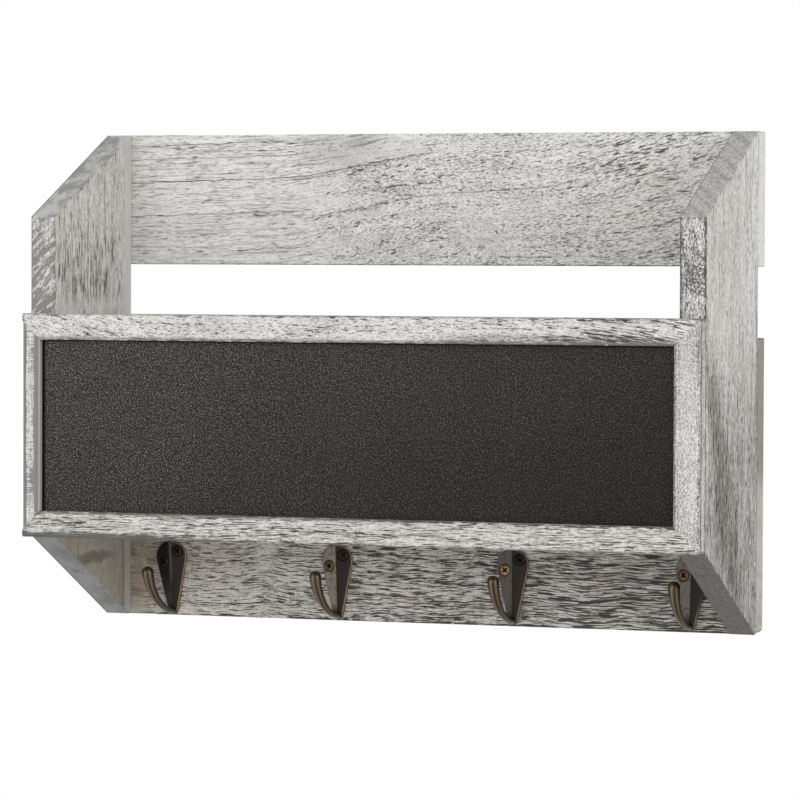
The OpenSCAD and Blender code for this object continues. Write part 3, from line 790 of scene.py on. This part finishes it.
def stile_left_tone(t, place, values, low, high):
    """Left stile, from its outer edge inwards: tan round, grey band, white brushed across in
    patches, grey-brown band, light lip."""
    x, y, z = place
    off = x - low[0]
    wander = t.wander(place, 1.2, 0.12, 3.0, 0.6)
    moved = off + wander
    bars = t.noise((x * 0.18, 0.0, z * 0.06), 1.0, 2.0, 0.6)
    fine = t.noise((x * 0.22, 0.0, z * 1.9), 1.0, 1.5, 0.6)
    side = t.step(abs(moved - 3.9), 1.5, 2.3) * 0.16
    patches = bars * 0.5 + fine * 0.5 + side
    for at, half, more in ((-130.0, 15.0, 0.10), (-74.0, 9.0, 0.06), (-100.0, 5.0, 0.04)):
        patches = patches + t.step(abs(z - at), half, half * 0.5) * more
    t.coat(t.step(patches, 0.52, 0.6) * 0.88, (0.2, 0.198, 0.195))
    below = t.step(z, -57.0, -66.0)
    grey = t.step(moved, 1.0, 1.2) * t.step(moved, 2.1, 1.7) * below
    t.coat(grey * 0.75, (0.155, 0.15, 0.145))
    band = t.step(moved, 6.2, 6.9) * t.step(off, 8.15, 7.9) * below
    t.coat(band * t.blend(t.step(fine, 0.4, 0.56), 0.92, 0.45), (0.215, 0.21, 0.203))
    weave = t.noise((x * 0.6, 0.0, z * 2.2), 1.0, 1.0)
    t.coat(t.step(weave, 0.5, 0.62) * 0.4, (0.27, 0.27, 0.265))
    ahead = t.step(y - low[1], 3.4, 2.2)
    t.coat(t.step(off, 1.15, 0.85) * ahead * 0.85, (0.45, 0.39, 0.32))
    t.coat(t.step(off, 7.95, 8.2) * 0.8, (0.46, 0.43, 0.395))


def stile_right_tone(t, place, values, low, high):
    """Right stile: light speckle, dotted dark at its inner edge, a torn dark line on its side
    just behind the corner."""
    x, y, z = place
    grit = t.noise((x, y, z * 0.8), 1.7, 2.0, 0.7)
    inner = t.step(x - low[0], 1.6, 0.5)
    t.coat(inner * t.step(grit, 0.42, 0.58) * 0.8, (0.13, 0.125, 0.12))
    t.coat(t.step(grit, 0.52, 0.64) * 0.6, (0.19, 0.185, 0.18))
    outer = t.step(high[0] - x, 0.6, 0.3)
    wander = t.wander((x, y, z * 0.4), 3.0, 0.3, 3.0, 0.6)
    behind = y - low[1] + wander
    ridge = t.step(abs(behind - 2.6), 1.2, 0.5)
    torn = t.step(t.noise((0.0, y, z * 0.09), 1.0, 3.0, 0.65), 0.4, 0.54)
    t.coat(ridge * outer * t.blend(torn, 0.3, 0.95), (0.06, 0.057, 0.053))
    t.stain(t.step(z, -115.0, -70.0) * 0.35, (0.8, 0.79, 0.78))


# Chalkboard

def chalk_material(finish, low, high):
    """Matte black film with a fine leathery grain: worm-like light specks where a fine noise is
    high, more of them towards the left as a painted sheen, a painted light gradient over the
    face, lighter at the upper left and darker to the right, the foot and the left border, with
    a slow random variation in it, and painted shadow in plain black where the lip shades its
    border."""
    material, t = new_material("chalkboard_film")
    place = t.place()
    x, y, z = place
    warp = t.noise(place, 1.3, 1.0)
    fine = t.noise((x + warp * 0.9, y, z - warp * 0.9), 1.75, 2.0, 0.62)
    # Painted sheen: more light specks towards the left
    lit = t.step(x, high[0] - 60.0, low[0]) * 0.5
    top = t.step(fine, 0.52, 0.61) * (0.62 + lit)
    slow = t.noise(place, 0.02, 2.0)
    film = t.tint(top, finish.chalk, finish.chalk_fleck)
    # Painted light: lighter at the upper left, darker to the right and the foot, and painted shade
    # near the left border, with a slow random variation
    painted_light_fade = (x - low[0]) * (-0.42 / (high[0] - low[0])) + (0.94 + slow * 0.28)
    painted_light_fade = painted_light_fade + (z - (low[2] + high[2]) / 2) * (0.34 / (high[2] - low[2]))
    painted_light_fade = painted_light_fade * t.step(x - low[0], -9.0, 9.0)
    t.stain(1.0, t.vector(painted_light_fade, painted_light_fade, painted_light_fade))
    # Painted shadow of the lip along the left and top borders
    shaded = t.most(t.step(x - low[0], 6.2, 5.4), t.step(high[2] - z, 5.0, 4.5))
    t.coat(shaded, (0.004, 0.004, 0.004))
    close(t, t.coated(film), 0.8, fine, specular=0.12, depth=0.05)
    return material


# Metal

def bronze_material(finish):
    """Dark antique bronze with four point attributes: the first is 1 where the bronze is rubbed
    bright at the edges and where highlights are painted on the plates' right rims and the
    prongs, the second is 1 in the corners that stay dark and where shadow is painted round the
    screws' sinks, the third is 1 on the prong and the fourth is 1 where a painted reflection
    lies on a left facet or ridge."""
    material, t = new_material("antique_bronze")
    place = t.place()
    rub, soot_and_shade, warm, painted_reflection = (t.mark(name) for name in ("rub", "soot_and_shade", "warm", "painted_reflection"))
    mottle = t.noise(place, 0.5, 3.0, 0.62)
    grit = t.noise(place, 2.6, 2.0, 0.6)
    t.coat(warm, finish.bronze_warm)
    # Painted reflection of the softbox on the left facets and ridges
    t.coat(painted_reflection * t.blend(t.step(mottle, 0.3, 0.62), 0.45, 1.0), finish.bronze_reflection)
    t.coat(t.step(mottle, 0.55, 0.8) * 0.35, finish.bronze_warm)
    t.stain(t.step(mottle, 0.48, 0.25) * 0.3, (0.5, 0.5, 0.52))
    # Rubbed bronze at the edges, and the painted highlights on the right rims and the prongs
    t.coat(rub * t.step(grit, 0.2, 0.5), finish.rubbed)
    # Dark corners, and painted shadow round the screws' sinks
    t.coat(soot_and_shade * 0.88, (0.014, 0.013, 0.012))
    rough = t.blend(rub, 0.33, 0.3) + (soot_and_shade * 0.25 + (mottle - 0.5) * 0.2)
    close(t, t.coated(finish.bronze), rough, grit, metallic=0.9, depth=0.012)
    return material


def screw_material(name, metal):
    """Screw metal, darker in the cross slot and, as painted shadow, at the rim, both by a point
    attribute.
    """
    material, t = new_material(name)
    soot_and_shade = t.mark("soot_and_shade")
    mottle = t.noise(t.place(), 1.1, 2.0, 0.6)
    t.coat(t.step(mottle, 0.35, 0.7), tuple(v * 0.5 for v in metal))
    t.coat(soot_and_shade, (0.012, 0.010, 0.009))
    close(t, t.coated(metal), t.blend(soot_and_shade, 0.36, 0.7), metallic=0.9)
    return material


def nail_material(finish):
    """Plain steel with faint scratches across."""
    material, t = new_material("nail_steel")
    x, y, z = t.place()
    scratch = t.noise((x * 3.0, y, z * 0.4), 1.2, 2.0, 0.6)
    tint = t.tint(scratch, finish.steel, tuple(v * 0.6 for v in finish.steel))
    close(t, tint, 0.38, scratch, metallic=1.0, depth=0.01)
    return material


# Surfaces

def ease(share):
    """A share from 0 to 1 with a smooth start and end."""
    return share * share * (3 - 2 * share)


def grid_faces(rows, columns, wrap=True):
    """Quads of a grid of points kept row by row, closed across its columns where wrap is on."""
    r, c = np.meshgrid(np.arange(rows - 1), np.arange(columns if wrap else columns - 1),
                       indexing="ij")
    n = (c + 1) % columns
    return np.stack([r * columns + c, r * columns + n, (r + 1) * columns + n,
                     (r + 1) * columns + c], axis=-1).reshape(-1, 4)


def make_mesh(name, points, faces, material, marks=None, merge=0.0):
    """An object from arrays of points in metres and faces, with point attributes from marks."""
    mesh = bpy.data.meshes.new(name)
    mesh.from_pydata(points.tolist(), [], faces.tolist())
    for key, values in (marks or {}).items():
        mesh.attributes.new(key, "FLOAT", "POINT").data.foreach_set(
            "value", np.ascontiguousarray(values, dtype=np.float32))
    if merge:
        work = bmesh.new()
        work.from_mesh(mesh)
        bmesh.ops.remove_doubles(work, verts=work.verts, dist=merge)
        bmesh.ops.dissolve_degenerate(work, edges=work.edges, dist=merge * 0.1)
        bmesh.ops.recalc_face_normals(work, faces=work.faces)
        work.to_mesh(mesh)
        work.free()
    mesh.polygons.foreach_set("use_smooth", np.ones(len(mesh.polygons), dtype=bool))
    mesh.materials.append(material)
    mesh.update()
    obj = bpy.data.objects.new(name, mesh)
    bpy.context.scene.collection.objects.link(obj)
    return obj


def hook_place(sizes, i):
    """How a hook's own drawing goes to its place: its turn in the wall plane and its shift."""
    low, high = box_mm("lower_back_board")
    middle = (low[0] + high[0]) / 2
    pitch = (high[0] - low[0] - 2 * sizes.margin) / 3
    lean = math.radians(sizes.lean[i])
    shift = np.array([middle + (i - 1.5) * pitch + sizes.drift[i], low[1],
                      low[2] + sizes.foot_gap[i] + sizes.plate_h / 2])
    return lean, shift


def to_world(sizes, i, x, ahead, z):
    """Points drawn as sideways, ahead of the board and up from the plate's foot, in metres:
    turned by the lean about the plate's middle, then shifted to the hook's place."""
    lean, shift = hook_place(sizes, i)
    zc = z - sizes.plate_h / 2
    out = np.stack([x * math.cos(lean) - zc * math.sin(lean) + shift[0], shift[1] - ahead,
                    x * math.sin(lean) + zc * math.cos(lean) + shift[2]], axis=-1)
    return out.reshape(-1, 3) * MM


def screw_spots(sizes):
    """Sideways and upward place of the two screws on a plate, right one first."""
    return ((sizes.screw_dx, sizes.plate_h - sizes.right_drop),
            (-sizes.screw_dx, sizes.plate_h - sizes.left_drop))


def facet_height(sizes, x):
    """Height of the plate's two facets: the ridge's height less a straight fall to the edge,
    with the ridge itself softened over a short width."""
    soft = 0.25
    away = np.sqrt(x * x + soft * soft) - soft
    return sizes.ridge_t - (sizes.ridge_t - sizes.edge_t) * away / (sizes.plate_w / 2)


# Rays of the plate's outline on a side, round its top and round its foot, points of a ray on
# the flat and over the rim, the radius of the rim and how much further out than a screw's
# head its sink starts, both in millimetres
SIDE_RAYS = 90
TOP_RAYS = 110
FOOT_RAYS = 40
FLAT_POINTS = 46
RIM_POINTS = 9
RIM_ROUND = 0.55
SINK_MARGIN = 0.4


def plate_surface(sizes):
    """The plate as rays from its middle line to its outline. The outline is the hull of a wide
    circle at the top and a narrow one at the foot. Each ray runs flat to the rim, turns over
    it in a quarter circle and goes down the side to the board. The sink of each screw is a
    cone cut into the facet."""
    top_r, low_r = sizes.plate_w / 2, sizes.foot_w / 2
    top_z, low_z = sizes.plate_h - top_r, low_r
    tip = math.asin((top_r - low_r) / (top_z - low_z))
    left = math.pi + tip
    climb = np.linspace(0, 1, SIDE_RAYS, endpoint=False) * (top_z - low_z)
    q = np.concatenate([low_z + climb, np.full(TOP_RAYS, top_z), top_z - climb,
                        np.full(FOOT_RAYS, low_z)])
    angle = np.concatenate([np.full(SIDE_RAYS, -tip),
                            np.linspace(-tip, left, TOP_RAYS, endpoint=False),
                            np.full(SIDE_RAYS, left),
                            np.linspace(left, 2 * math.pi - tip, FOOT_RAYS, endpoint=False)])
    radius = low_r + (q - low_z) / (top_z - low_z) * (top_r - low_r)
    inner = np.linspace(0, 1, FLAT_POINTS) ** 0.9
    turn = np.linspace(0, math.pi / 2, RIM_POINTS)[1:]
    flat = inner[:, None] * (radius - RIM_ROUND)
    over = (radius - RIM_ROUND) + RIM_ROUND * np.sin(turn)[:, None]
    out = np.concatenate([flat, over, [radius, radius]])
    x = out * np.cos(angle)
    z = q + out * np.sin(angle)
    drop = np.concatenate([np.zeros(len(inner)), RIM_ROUND * (1 - np.cos(turn)), [0, 0]])
    h = facet_height(sizes, x) - drop[:, None]
    h[-2] = h[-3] * 0.5
    h[-1] = 0.0
    rim = ease(np.clip((out - (radius - 0.6)) / 0.5, 0, 1))
    # Rubbed rim, stronger on the right, where it also stands for a painted highlight
    rub = rim * np.clip(0.25 + x / 2.0, 0.12, 1.0)
    soot_and_shade = np.zeros_like(x)
    sink_r = sizes.head_d / 2 + SINK_MARGIN
    for sx, sz in screw_spots(sizes):
        r = np.hypot(x - sx, z - sz)
        h = np.where(r < sink_r, h - np.clip(sink_r - r, 0, 1.1) * 0.9, h)
        # Painted shadow in a ring at the edge of each screw's sink
        soot_and_shade = np.maximum(soot_and_shade, np.clip(1 - np.abs(r - sink_r + 0.35) / 0.55, 0, 1))
    foot = np.clip(1 - (z - 1.0) / 5.0, 0, 1) * np.clip(1 - np.abs(x) / 3.4, 0, 1)
    soot_and_shade = np.maximum(soot_and_shade, foot)
    none = np.zeros((1, len(q)))
    last = (none, none, q[None, :], none, none)
    return tuple(np.concatenate(pair) for pair in zip((x, np.maximum(h, 0.0), z, rub, soot_and_shade),
                                                      last))


# Rings of the prong and of its bulb's end, points in each, how narrow its closed ends are in
# millimetres, and the turn of its painted highlight streaks to the camera in radians
PRONG_RINGS = 90
CAP_RINGS = 12
PRONG_SIDES = 48
PRONG_POINT = 1e-4
STREAK_TURN = 0.34


def prong_surface(sizes):
    """The prong as rings along a curve with four control points, in the plane of the ridge.
    Rings are ovals whose thickness grows towards the bulb as a power of the way along, and
    whose width starts near the plate's foot. A flare joins the root to the plate, and rings
    that shrink on a quarter circle close the bulb. Two painted highlights, bright streaks that
    stand in for the softboxes' reflections, run along the side turned to the camera by
    STREAK_TURN."""
    p0 = np.array([sizes.ridge_t * 0.3, sizes.root_d / 2 + 0.3])
    p3 = np.array([sizes.reach, sizes.prong_h - sizes.bulb_d / 2])
    p1 = np.array([sizes.reach * 0.43, sizes.root_d / 2])
    p2 = np.array([sizes.reach * 0.96, p3[1] * 0.51])
    t = np.linspace(0, 1, PRONG_RINGS)[:, None]
    line = ((1 - t) ** 3 * p0 + 3 * t * (1 - t) ** 2 * p1 + 3 * t ** 2 * (1 - t) * p2
            + t ** 3 * p3)
    slope = (3 * (1 - t) ** 2 * (p1 - p0) + 6 * t * (1 - t) * (p2 - p1)
             + 3 * t ** 2 * (p3 - p2))
    ahead = slope / np.linalg.norm(slope, axis=1, keepdims=True)
    way = t[:, 0]
    thick = sizes.root_d / 2 + (sizes.bulb_d - sizes.root_d) / 2 * way ** 1.6
    wide = np.maximum(thick, (sizes.foot_w / 2 - 0.4) * (1 - 1.3 * way))
    thick = thick + 0.8 * np.exp(-np.maximum(line[:, 0] - sizes.ridge_t * 0.6, 0) / 1.3)
    cap = np.linspace(0, math.pi / 2, CAP_RINGS)[1:]
    r = sizes.bulb_d / 2
    small = np.maximum(r * np.cos(cap), PRONG_POINT)
    line = np.concatenate([line[:1], line, line[-1] + r * np.sin(cap)[:, None] * ahead[-1]])
    ahead = np.concatenate([ahead[:1], ahead, np.repeat(ahead[-1:], len(cap), axis=0)])
    thick = np.concatenate([[PRONG_POINT], thick, small])[:, None]
    wide = np.concatenate([[PRONG_POINT], wide, small])[:, None]
    around = np.linspace(0, 2 * math.pi, PRONG_SIDES, endpoint=False)
    x = wide * np.cos(around)
    up = thick * np.sin(around)
    out = line[:, :1] - ahead[:, 1:] * up
    z = line[:, 1:] + ahead[:, :1] * up
    cap_dark = np.clip((z - (sizes.prong_h - 2.2)) / 2.0, 0, 1)
    soot_and_shade = np.maximum(np.clip(1 - (out - sizes.ridge_t * 0.5) / 6.5, 0, 1)
                      * np.clip(0.6 + np.sin(around), 0, 1), cap_dark * 0.6)
    view = around - 1.5 * math.pi - STREAK_TURN
    # Painted highlights: two bright streaks where the softboxes would reflect
    streaks = np.exp(-((view + 0.5) / 0.22) ** 2) + 0.8 * np.exp(-((view - 0.4) / 0.18) ** 2)
    share = np.linspace(0, 1, len(line))[:, None]
    rub = streaks * (0.28 + 0.45 * np.clip((share - 0.35) / 0.4, 0, 1)) * (1 - cap_dark)
    return x, out, z, rub, soot_and_shade


# Rings of a screw's head, points in each, and half the width and length of its cross's arms
# in millimetres
SCREW_RINGS = 30
SCREW_SIDES = 96
SLOT_HALF = 0.36
SLOT_REACH = 1.35


def screw_surface(sizes, turn):
    """A screw's oval head on a polar grid: a shallow dome less a cross whose arms are smooth
    troughs, with a short wall at the rim that goes down into the countersink."""
    rim = sizes.head_d / 2
    base = facet_height(sizes, np.array([sizes.screw_dx]))[0] - 0.3
    share = np.linspace(0, 1, SCREW_RINGS)[:, None]
    a = np.linspace(0, 2 * math.pi, SCREW_SIDES, endpoint=False) + 0 * share
    r = rim * share + 0 * a
    u = np.abs(r * np.cos(a - turn))
    v = np.abs(r * np.sin(a - turn))
    arm = np.minimum(np.maximum(u - SLOT_HALF, v - SLOT_REACH),
                     np.maximum(v - SLOT_HALF, u - SLOT_REACH))
    cut = ease(np.clip(0.5 - arm / 0.22, 0, 1))
    h = base + 0.6 * (1 - share ** 2) - 1.0 * cut * np.clip(1.25 - r / 1.9, 0, 1)
    x = r * np.cos(a)
    z = r * np.sin(a)
    # Dark in the cross slot, and painted shadow in a ring at the head's rim
    soot_and_shade = np.maximum(cut, np.clip((r - rim + 0.32) / 0.3, 0, 1) * 0.8)
    wall = (x[-1:] * 0.9, np.full_like(x[-1:], base - 0.7), z[-1:] * 0.9, np.ones_like(x[-1:]))
    return tuple(np.concatenate(pair) for pair in zip((x, h, z, soot_and_shade), wall))


# Operators

def settings_of(context):
    """The three groups of settings that the scene holds."""
    scene = context.scene
    return scene.organizer_hooks, scene.organizer_finishes, scene.organizer_studio


def shared_grain(finish):
    """The grain group, made once for the boards and the frame."""
    return bpy.data.node_groups.get("Washed grain") or grain_group(finish)


class ORGANIZER_OT_boards(bpy.types.Operator):
    """Gives the side panels, back boards and bin floor their washed wood"""
    bl_idname = "organizer.boards"
    bl_label = "Wash the boards"

    def execute(self, context):
        _, finish, _ = settings_of(context)
        group = shared_grain(finish)
        plain = dict(Bend=2.4, Fine=0.6, Dash=0.5, Dash_length=8.0, Dash_width=1.1, Line=0.5,
                     Ring=0.5, Cloud=0.5)
        upper = dict(plain, Bend=2.6, Dash_width=0.70, Cloud=0.45, Grit=0.45)
        lower = dict(plain, Bend=0.8, Fine=0.7, Dash_width=0.58, Ring=0.35, Cloud=0.7, Grit=0.8,
                     Crowd=0.6, Strength=0.98)
        for node, seed, dash, tone in (("side_panel_left", 17.0, 8.0, left_panel_tone),
                                       ("side_panel_right", 29.0, 6.0, right_panel_tone)):
            set_material(node, panel_material(node, group, seed, dash, tone))
        for node, seed, values, more, wear, strength in (
                ("upper_back_board", 5.0, upper, upper_board_more, 0.7, 0.2),
                ("lower_back_board", 43.0, lower, lower_board_more, 1.0, 0.5),
                ("bin_floor", 77.0, plain, None, 1.6, 0.8)):
            set_material(node, washed_board(node, group, finish, "x", seed, values, more, wear,
                                            strength))
        return {"FINISHED"}


class ORGANIZER_OT_frame(bpy.types.Operator):
    """Gives the mitred front frame its brighter wash, rubbed edges and mitre lines"""
    bl_idname = "organizer.frame"
    bl_label = "Wash the front frame"

    def execute(self, context):
        _, finish, _ = settings_of(context)
        group = shared_grain(finish)
        x0, x1 = box_mm("frame_left_stile")[1][0], box_mm("frame_right_stile")[0][0]
        z0, z1 = box_mm("frame_bottom_rail")[1][2], box_mm("frame_top_rail")[0][2]
        corners = ((x0, z0, -1.0, -1.0), (x1, z0, 1.0, -1.0), (x0, z1, -1.0, 1.0),
                   (x1, z1, 1.0, 1.0))
        plain = dict(Bend=1.0, Fine=0.95, Dash=0.72, Dash_length=4.4, Dash_width=0.66,
                     Line=0.45, Ring=0.3, Cloud=0.4, Grit=0.9)
        low_rail = dict(plain, Dash=0.98, Fine=0.8, Grit=1.0, Dash_length=8.0, Dash_width=0.52,
                        Crowd=0.6, Strength=0.97)
        left_stile = dict(plain, Dash=0.15, Fine=0.5, Line=0.2)
        right_stile = dict(plain, Dash=0.4, Dash_length=2.0, Grit=1.0)
        for node, grain, seed, values, tone in (
                ("frame_top_rail", "x", 91.0, plain, rail_top_tone),
                ("frame_bottom_rail", "x", 103.0, low_rail, rail_low_tone),
                ("frame_left_stile", "z", 117.0, left_stile, stile_left_tone),
                ("frame_right_stile", "z", 131.0, right_stile, stile_right_tone)):
            set_material(node, frame_material(node, group, finish, grain, seed, values, corners,
                                              tone))
        return {"FINISHED"}


class ORGANIZER_OT_chalkboard(bpy.types.Operator):
    """Gives the chalkboard its matte grained film"""
    bl_idname = "organizer.chalkboard"
    bl_label = "Coat the chalkboard"

    def execute(self, context):
        set_material("chalkboard_panel", chalk_material(
            settings_of(context)[1], *box_mm("chalkboard_panel")))
        return {"FINISHED"}


class ORGANIZER_OT_hooks(bpy.types.Operator):
    """Casts the four key hooks: ridged plate and swept prong"""
    bl_idname = "organizer.hooks"
    bl_label = "Cast the hooks"
    # How strongly each hook's left facet and ridge carry a painted reflection of the left softbox,
    # and how warm its prong
    facet = (0.07, 1.0, 0.40, 0.66)
    ridge = (0.36, 0.0, 0.0, 0.0)
    prong = (0.95, 1.0, 0.55, 0.75)

    def execute(self, context):
        sizes, finish, _ = settings_of(context)
        material = bronze_material(finish)
        for i, node in enumerate(HOOKS):
            points, faces, start = [], [], 0
            marks = {"rub": [], "soot_and_shade": [], "warm": [], "painted_reflection": []}
            for part, surface in enumerate((plate_surface, prong_surface)):
                x, h, z, rub, soot_and_shade = surface(sizes)
                points.append(to_world(sizes, i, x, h, z))
                faces.append(grid_faces(*x.shape) + start)
                # Painted reflection on the left facet and ridge of each plate
                painted_reflection = (np.clip(0.5 - x / 0.5, 0, 1) * self.facet[i]
                        * np.clip((z - 3) / 5, 0.15, 1)
                        + self.ridge[i] * np.exp(-(x / 0.8) ** 2) * np.clip((z - 12) / 10, 0, 1))
                warm = np.full(x.shape, part * self.prong[i])
                for values, kept in zip((rub, soot_and_shade, warm, painted_reflection * (1 - part)), marks.values()):
                    kept.append(values.ravel())
                start += x.size
            marks = {key: np.concatenate(kept) for key, kept in marks.items()}
            piece = make_mesh("cast_" + node, np.concatenate(points), np.concatenate(faces),
                              material, marks, merge=MERGE)
            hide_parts(node)
            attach(piece, "root")
        return {"FINISHED"}


class ORGANIZER_OT_screws(bpy.types.Operator):
    """Turns the eight oval-headed screws that hold the hooks"""
    bl_idname = "organizer.screws"
    bl_label = "Turn the screws"
    # The looks of the two screws on each hook, right one first
    chosen = (("dark", "dark"), ("dark", "aged"), ("black", "bright"), ("dark", "copper"))

    def execute(self, context):
        sizes, finish, _ = settings_of(context)
        tints = {"dark": (0.045, 0.031, 0.019), "aged": (0.17, 0.12, 0.065),
                 "bright": finish.brass, "copper": (0.21, 0.125, 0.075),
                 "black": (0.03, 0.027, 0.024)}
        looks = {key: screw_material("screw_" + key, tint) for key, tint in tints.items()}
        tilt = (sizes.ridge_t - sizes.edge_t) / (sizes.plate_w / 2) * 0.6
        for i in range(len(HOOKS)):
            for k, (sx, sz) in enumerate(screw_spots(sizes)):
                turn = math.radians(45 + (i * 37 + k * 21) % 30 - 12)
                x, h, z, soot_and_shade = screw_surface(sizes, turn)
                piece = make_mesh("hook_screw_%d" % (2 * i + k + 1),
                                  to_world(sizes, i, x + sx, h - np.sign(sx) * x * tilt, z + sz),
                                  grid_faces(*x.shape), looks[self.chosen[i][k]],
                                  {"soot_and_shade": soot_and_shade.ravel()}, merge=MERGE)
                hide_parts("hook_screws")
                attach(piece, "root")
        return {"FINISHED"}


class ORGANIZER_OT_nails(bpy.types.Operator):
    """Gives the brads and corner nails their plain steel"""
    bl_idname = "organizer.nails"
    bl_label = "Finish the nails"

    def execute(self, context):
        material = nail_material(settings_of(context)[1])
        for node in NAILS:
            set_material(node, material)
        return {"FINISHED"}


# Half the floor's side, its points along a side, how far it lies below the organizer and where
# the lights aim, in metres
FLOOR_HALF = 1.5
FLOOR_POINTS = 25
FLOOR_DROP = 0.35
LIGHTS_AIM = (0, 0, -0.05)


def add_softbox(name, place, width, height, power):
    """A rectangular soft light at place that faces the organizer."""
    data = bpy.data.lights.new(name, "AREA")
    data.shape = "RECTANGLE"
    data.size, data.size_y, data.energy = width, height, power
    lamp = bpy.data.objects.new(name, data)
    lamp.location = place
    lamp.rotation_euler = (Vector(LIGHTS_AIM) - Vector(place)).to_track_quat("-Z", "Y").to_euler()
    bpy.context.scene.collection.objects.link(lamp)


def add_sky(strength):
    """An even light from all round, which the camera and reflections see as plain white."""
    world = bpy.data.worlds.new("studio_sky")
    world.use_nodes = True
    world.node_tree.nodes.clear()
    t = Tree(world.node_tree)
    path = t.add("ShaderNodeLightPath")
    seen = t.most(*(t.out(path, "Is %s Ray" % kind)
                    for kind in ("Camera", "Transmission", "Glossy")))
    background = t.add("ShaderNodeBackground")
    background.inputs["Color"].default_value = (1.0, 1.0, 1.0, 1.0)
    t.put(background.inputs["Strength"], t.blend(seen, strength, 1.0))
    t.put(t.add("ShaderNodeOutputWorld").inputs["Surface"], t.out(background))
    bpy.context.scene.world = world


def add_floor():
    """A wide light floor below the organizer, no part of it."""
    material, t = new_material("studio_floor")
    shade = t.noise(t.place(), 0.01, 2.0)
    close(t, t.tint(shade * 0.05, (0.86, 0.86, 0.855), (0.7, 0.7, 0.7)), 0.8, specular=0.1)
    side = np.linspace(-FLOOR_HALF, FLOOR_HALF, FLOOR_POINTS)
    gx, gy = np.meshgrid(side, side)
    flat = np.stack([gx, gy, np.full_like(gx, CAD_BOX[0][2] - FLOOR_DROP)], axis=-1)
    floor = make_mesh("studio_floor", flat.reshape(-1, 3),
                      grid_faces(FLOOR_POINTS, FLOOR_POINTS, False), material)


def add_camera(lens, eye, turn):
    """The photo's camera. turn is its yaw to the left, its pitch upwards and its roll."""
    yaw, pitch, roll = turn
    ahead = Vector((-math.sin(yaw) * math.cos(pitch), math.cos(yaw) * math.cos(pitch),
                    math.sin(pitch)))
    right = Vector((math.cos(yaw), math.sin(yaw), 0.0))
    up = right.cross(ahead)
    side_on = right * math.cos(roll) + up * math.sin(roll)
    upright = up * math.cos(roll) - right * math.sin(roll)
    data = bpy.data.cameras.new("photo_camera")
    data.sensor_width = 36.0
    data.lens = lens
    data.clip_end = 50.0
    camera = bpy.data.objects.new("photo_camera", data)
    camera.matrix_world = (Matrix.Translation(Vector(eye))
                           @ Matrix((side_on, upright, -ahead)).transposed().to_4x4())
    bpy.context.scene.collection.objects.link(camera)
    bpy.context.scene.camera = camera


class ORGANIZER_OT_studio(bpy.types.Operator):
    """Sets the floor, the soft light, the white background and the camera"""
    bl_idname = "organizer.studio"
    bl_label = "Set the studio"

    def execute(self, context):
        _, _, studio = settings_of(context)
        add_sky(studio.sky)
        add_floor()
        for name, place, width, height, power in (
                ("key_softbox", (-1.1, -1.9, 1.3), 1.1, 1.1, studio.key),
                ("front_softbox", (0.2, -2.4, 0.6), 1.2, 0.9, studio.front),
                ("fill_softbox", (1.9, -1.3, 0.5), 0.9, 1.4, studio.fill),
                ("side_softbox", (2.3, -0.5, 0.5), 0.9, 1.2, studio.side)):
            add_softbox(name, place, width, height, power)
        add_camera(studio.lens, studio.eye, studio.turn)
        context.scene.view_settings.view_transform = "Standard"
        return {"FINISHED"}


class ORGANIZER_PT_panel(bpy.types.Panel):
    """Lists the organizer's pieces and settings"""
    bl_idname = "ORGANIZER_PT_panel"
    bl_label = "Wall mail organizer"
    bl_space_type = "VIEW_3D"
    bl_region_type = "UI"
    bl_category = "Organizer"

    def draw(self, context):
        for group, buttons in zip(settings_of(context), (
                ("hooks", "screws"), ("boards", "frame", "chalkboard", "nails"), ("studio",))):
            box = self.layout.box()
            for name in group.__annotations__:
                box.prop(group, name)
            for button in buttons:
                box.operator("organizer." + button)


CLASSES = (HookSizes, Finishes, Studio, ORGANIZER_OT_boards, ORGANIZER_OT_frame,
           ORGANIZER_OT_chalkboard, ORGANIZER_OT_hooks, ORGANIZER_OT_screws, ORGANIZER_OT_nails,
           ORGANIZER_OT_studio, ORGANIZER_PT_panel)


def register():
    for item in CLASSES:
        bpy.utils.register_class(item)
    scene = bpy.types.Scene
    scene.organizer_hooks = bpy.props.PointerProperty(type=HookSizes)
    scene.organizer_finishes = bpy.props.PointerProperty(type=Finishes)
    scene.organizer_studio = bpy.props.PointerProperty(type=Studio)


def unregister():
    scene = bpy.types.Scene
    del scene.organizer_hooks, scene.organizer_finishes, scene.organizer_studio
    for item in reversed(CLASSES):
        bpy.utils.unregister_class(item)


def main():
    """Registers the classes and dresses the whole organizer."""
    register()
    for step in (bpy.ops.organizer.boards, bpy.ops.organizer.frame,
                 bpy.ops.organizer.chalkboard, bpy.ops.organizer.hooks,
                 bpy.ops.organizer.screws, bpy.ops.organizer.nails, bpy.ops.organizer.studio):
        step()


if __name__ == "__main__":
    main()
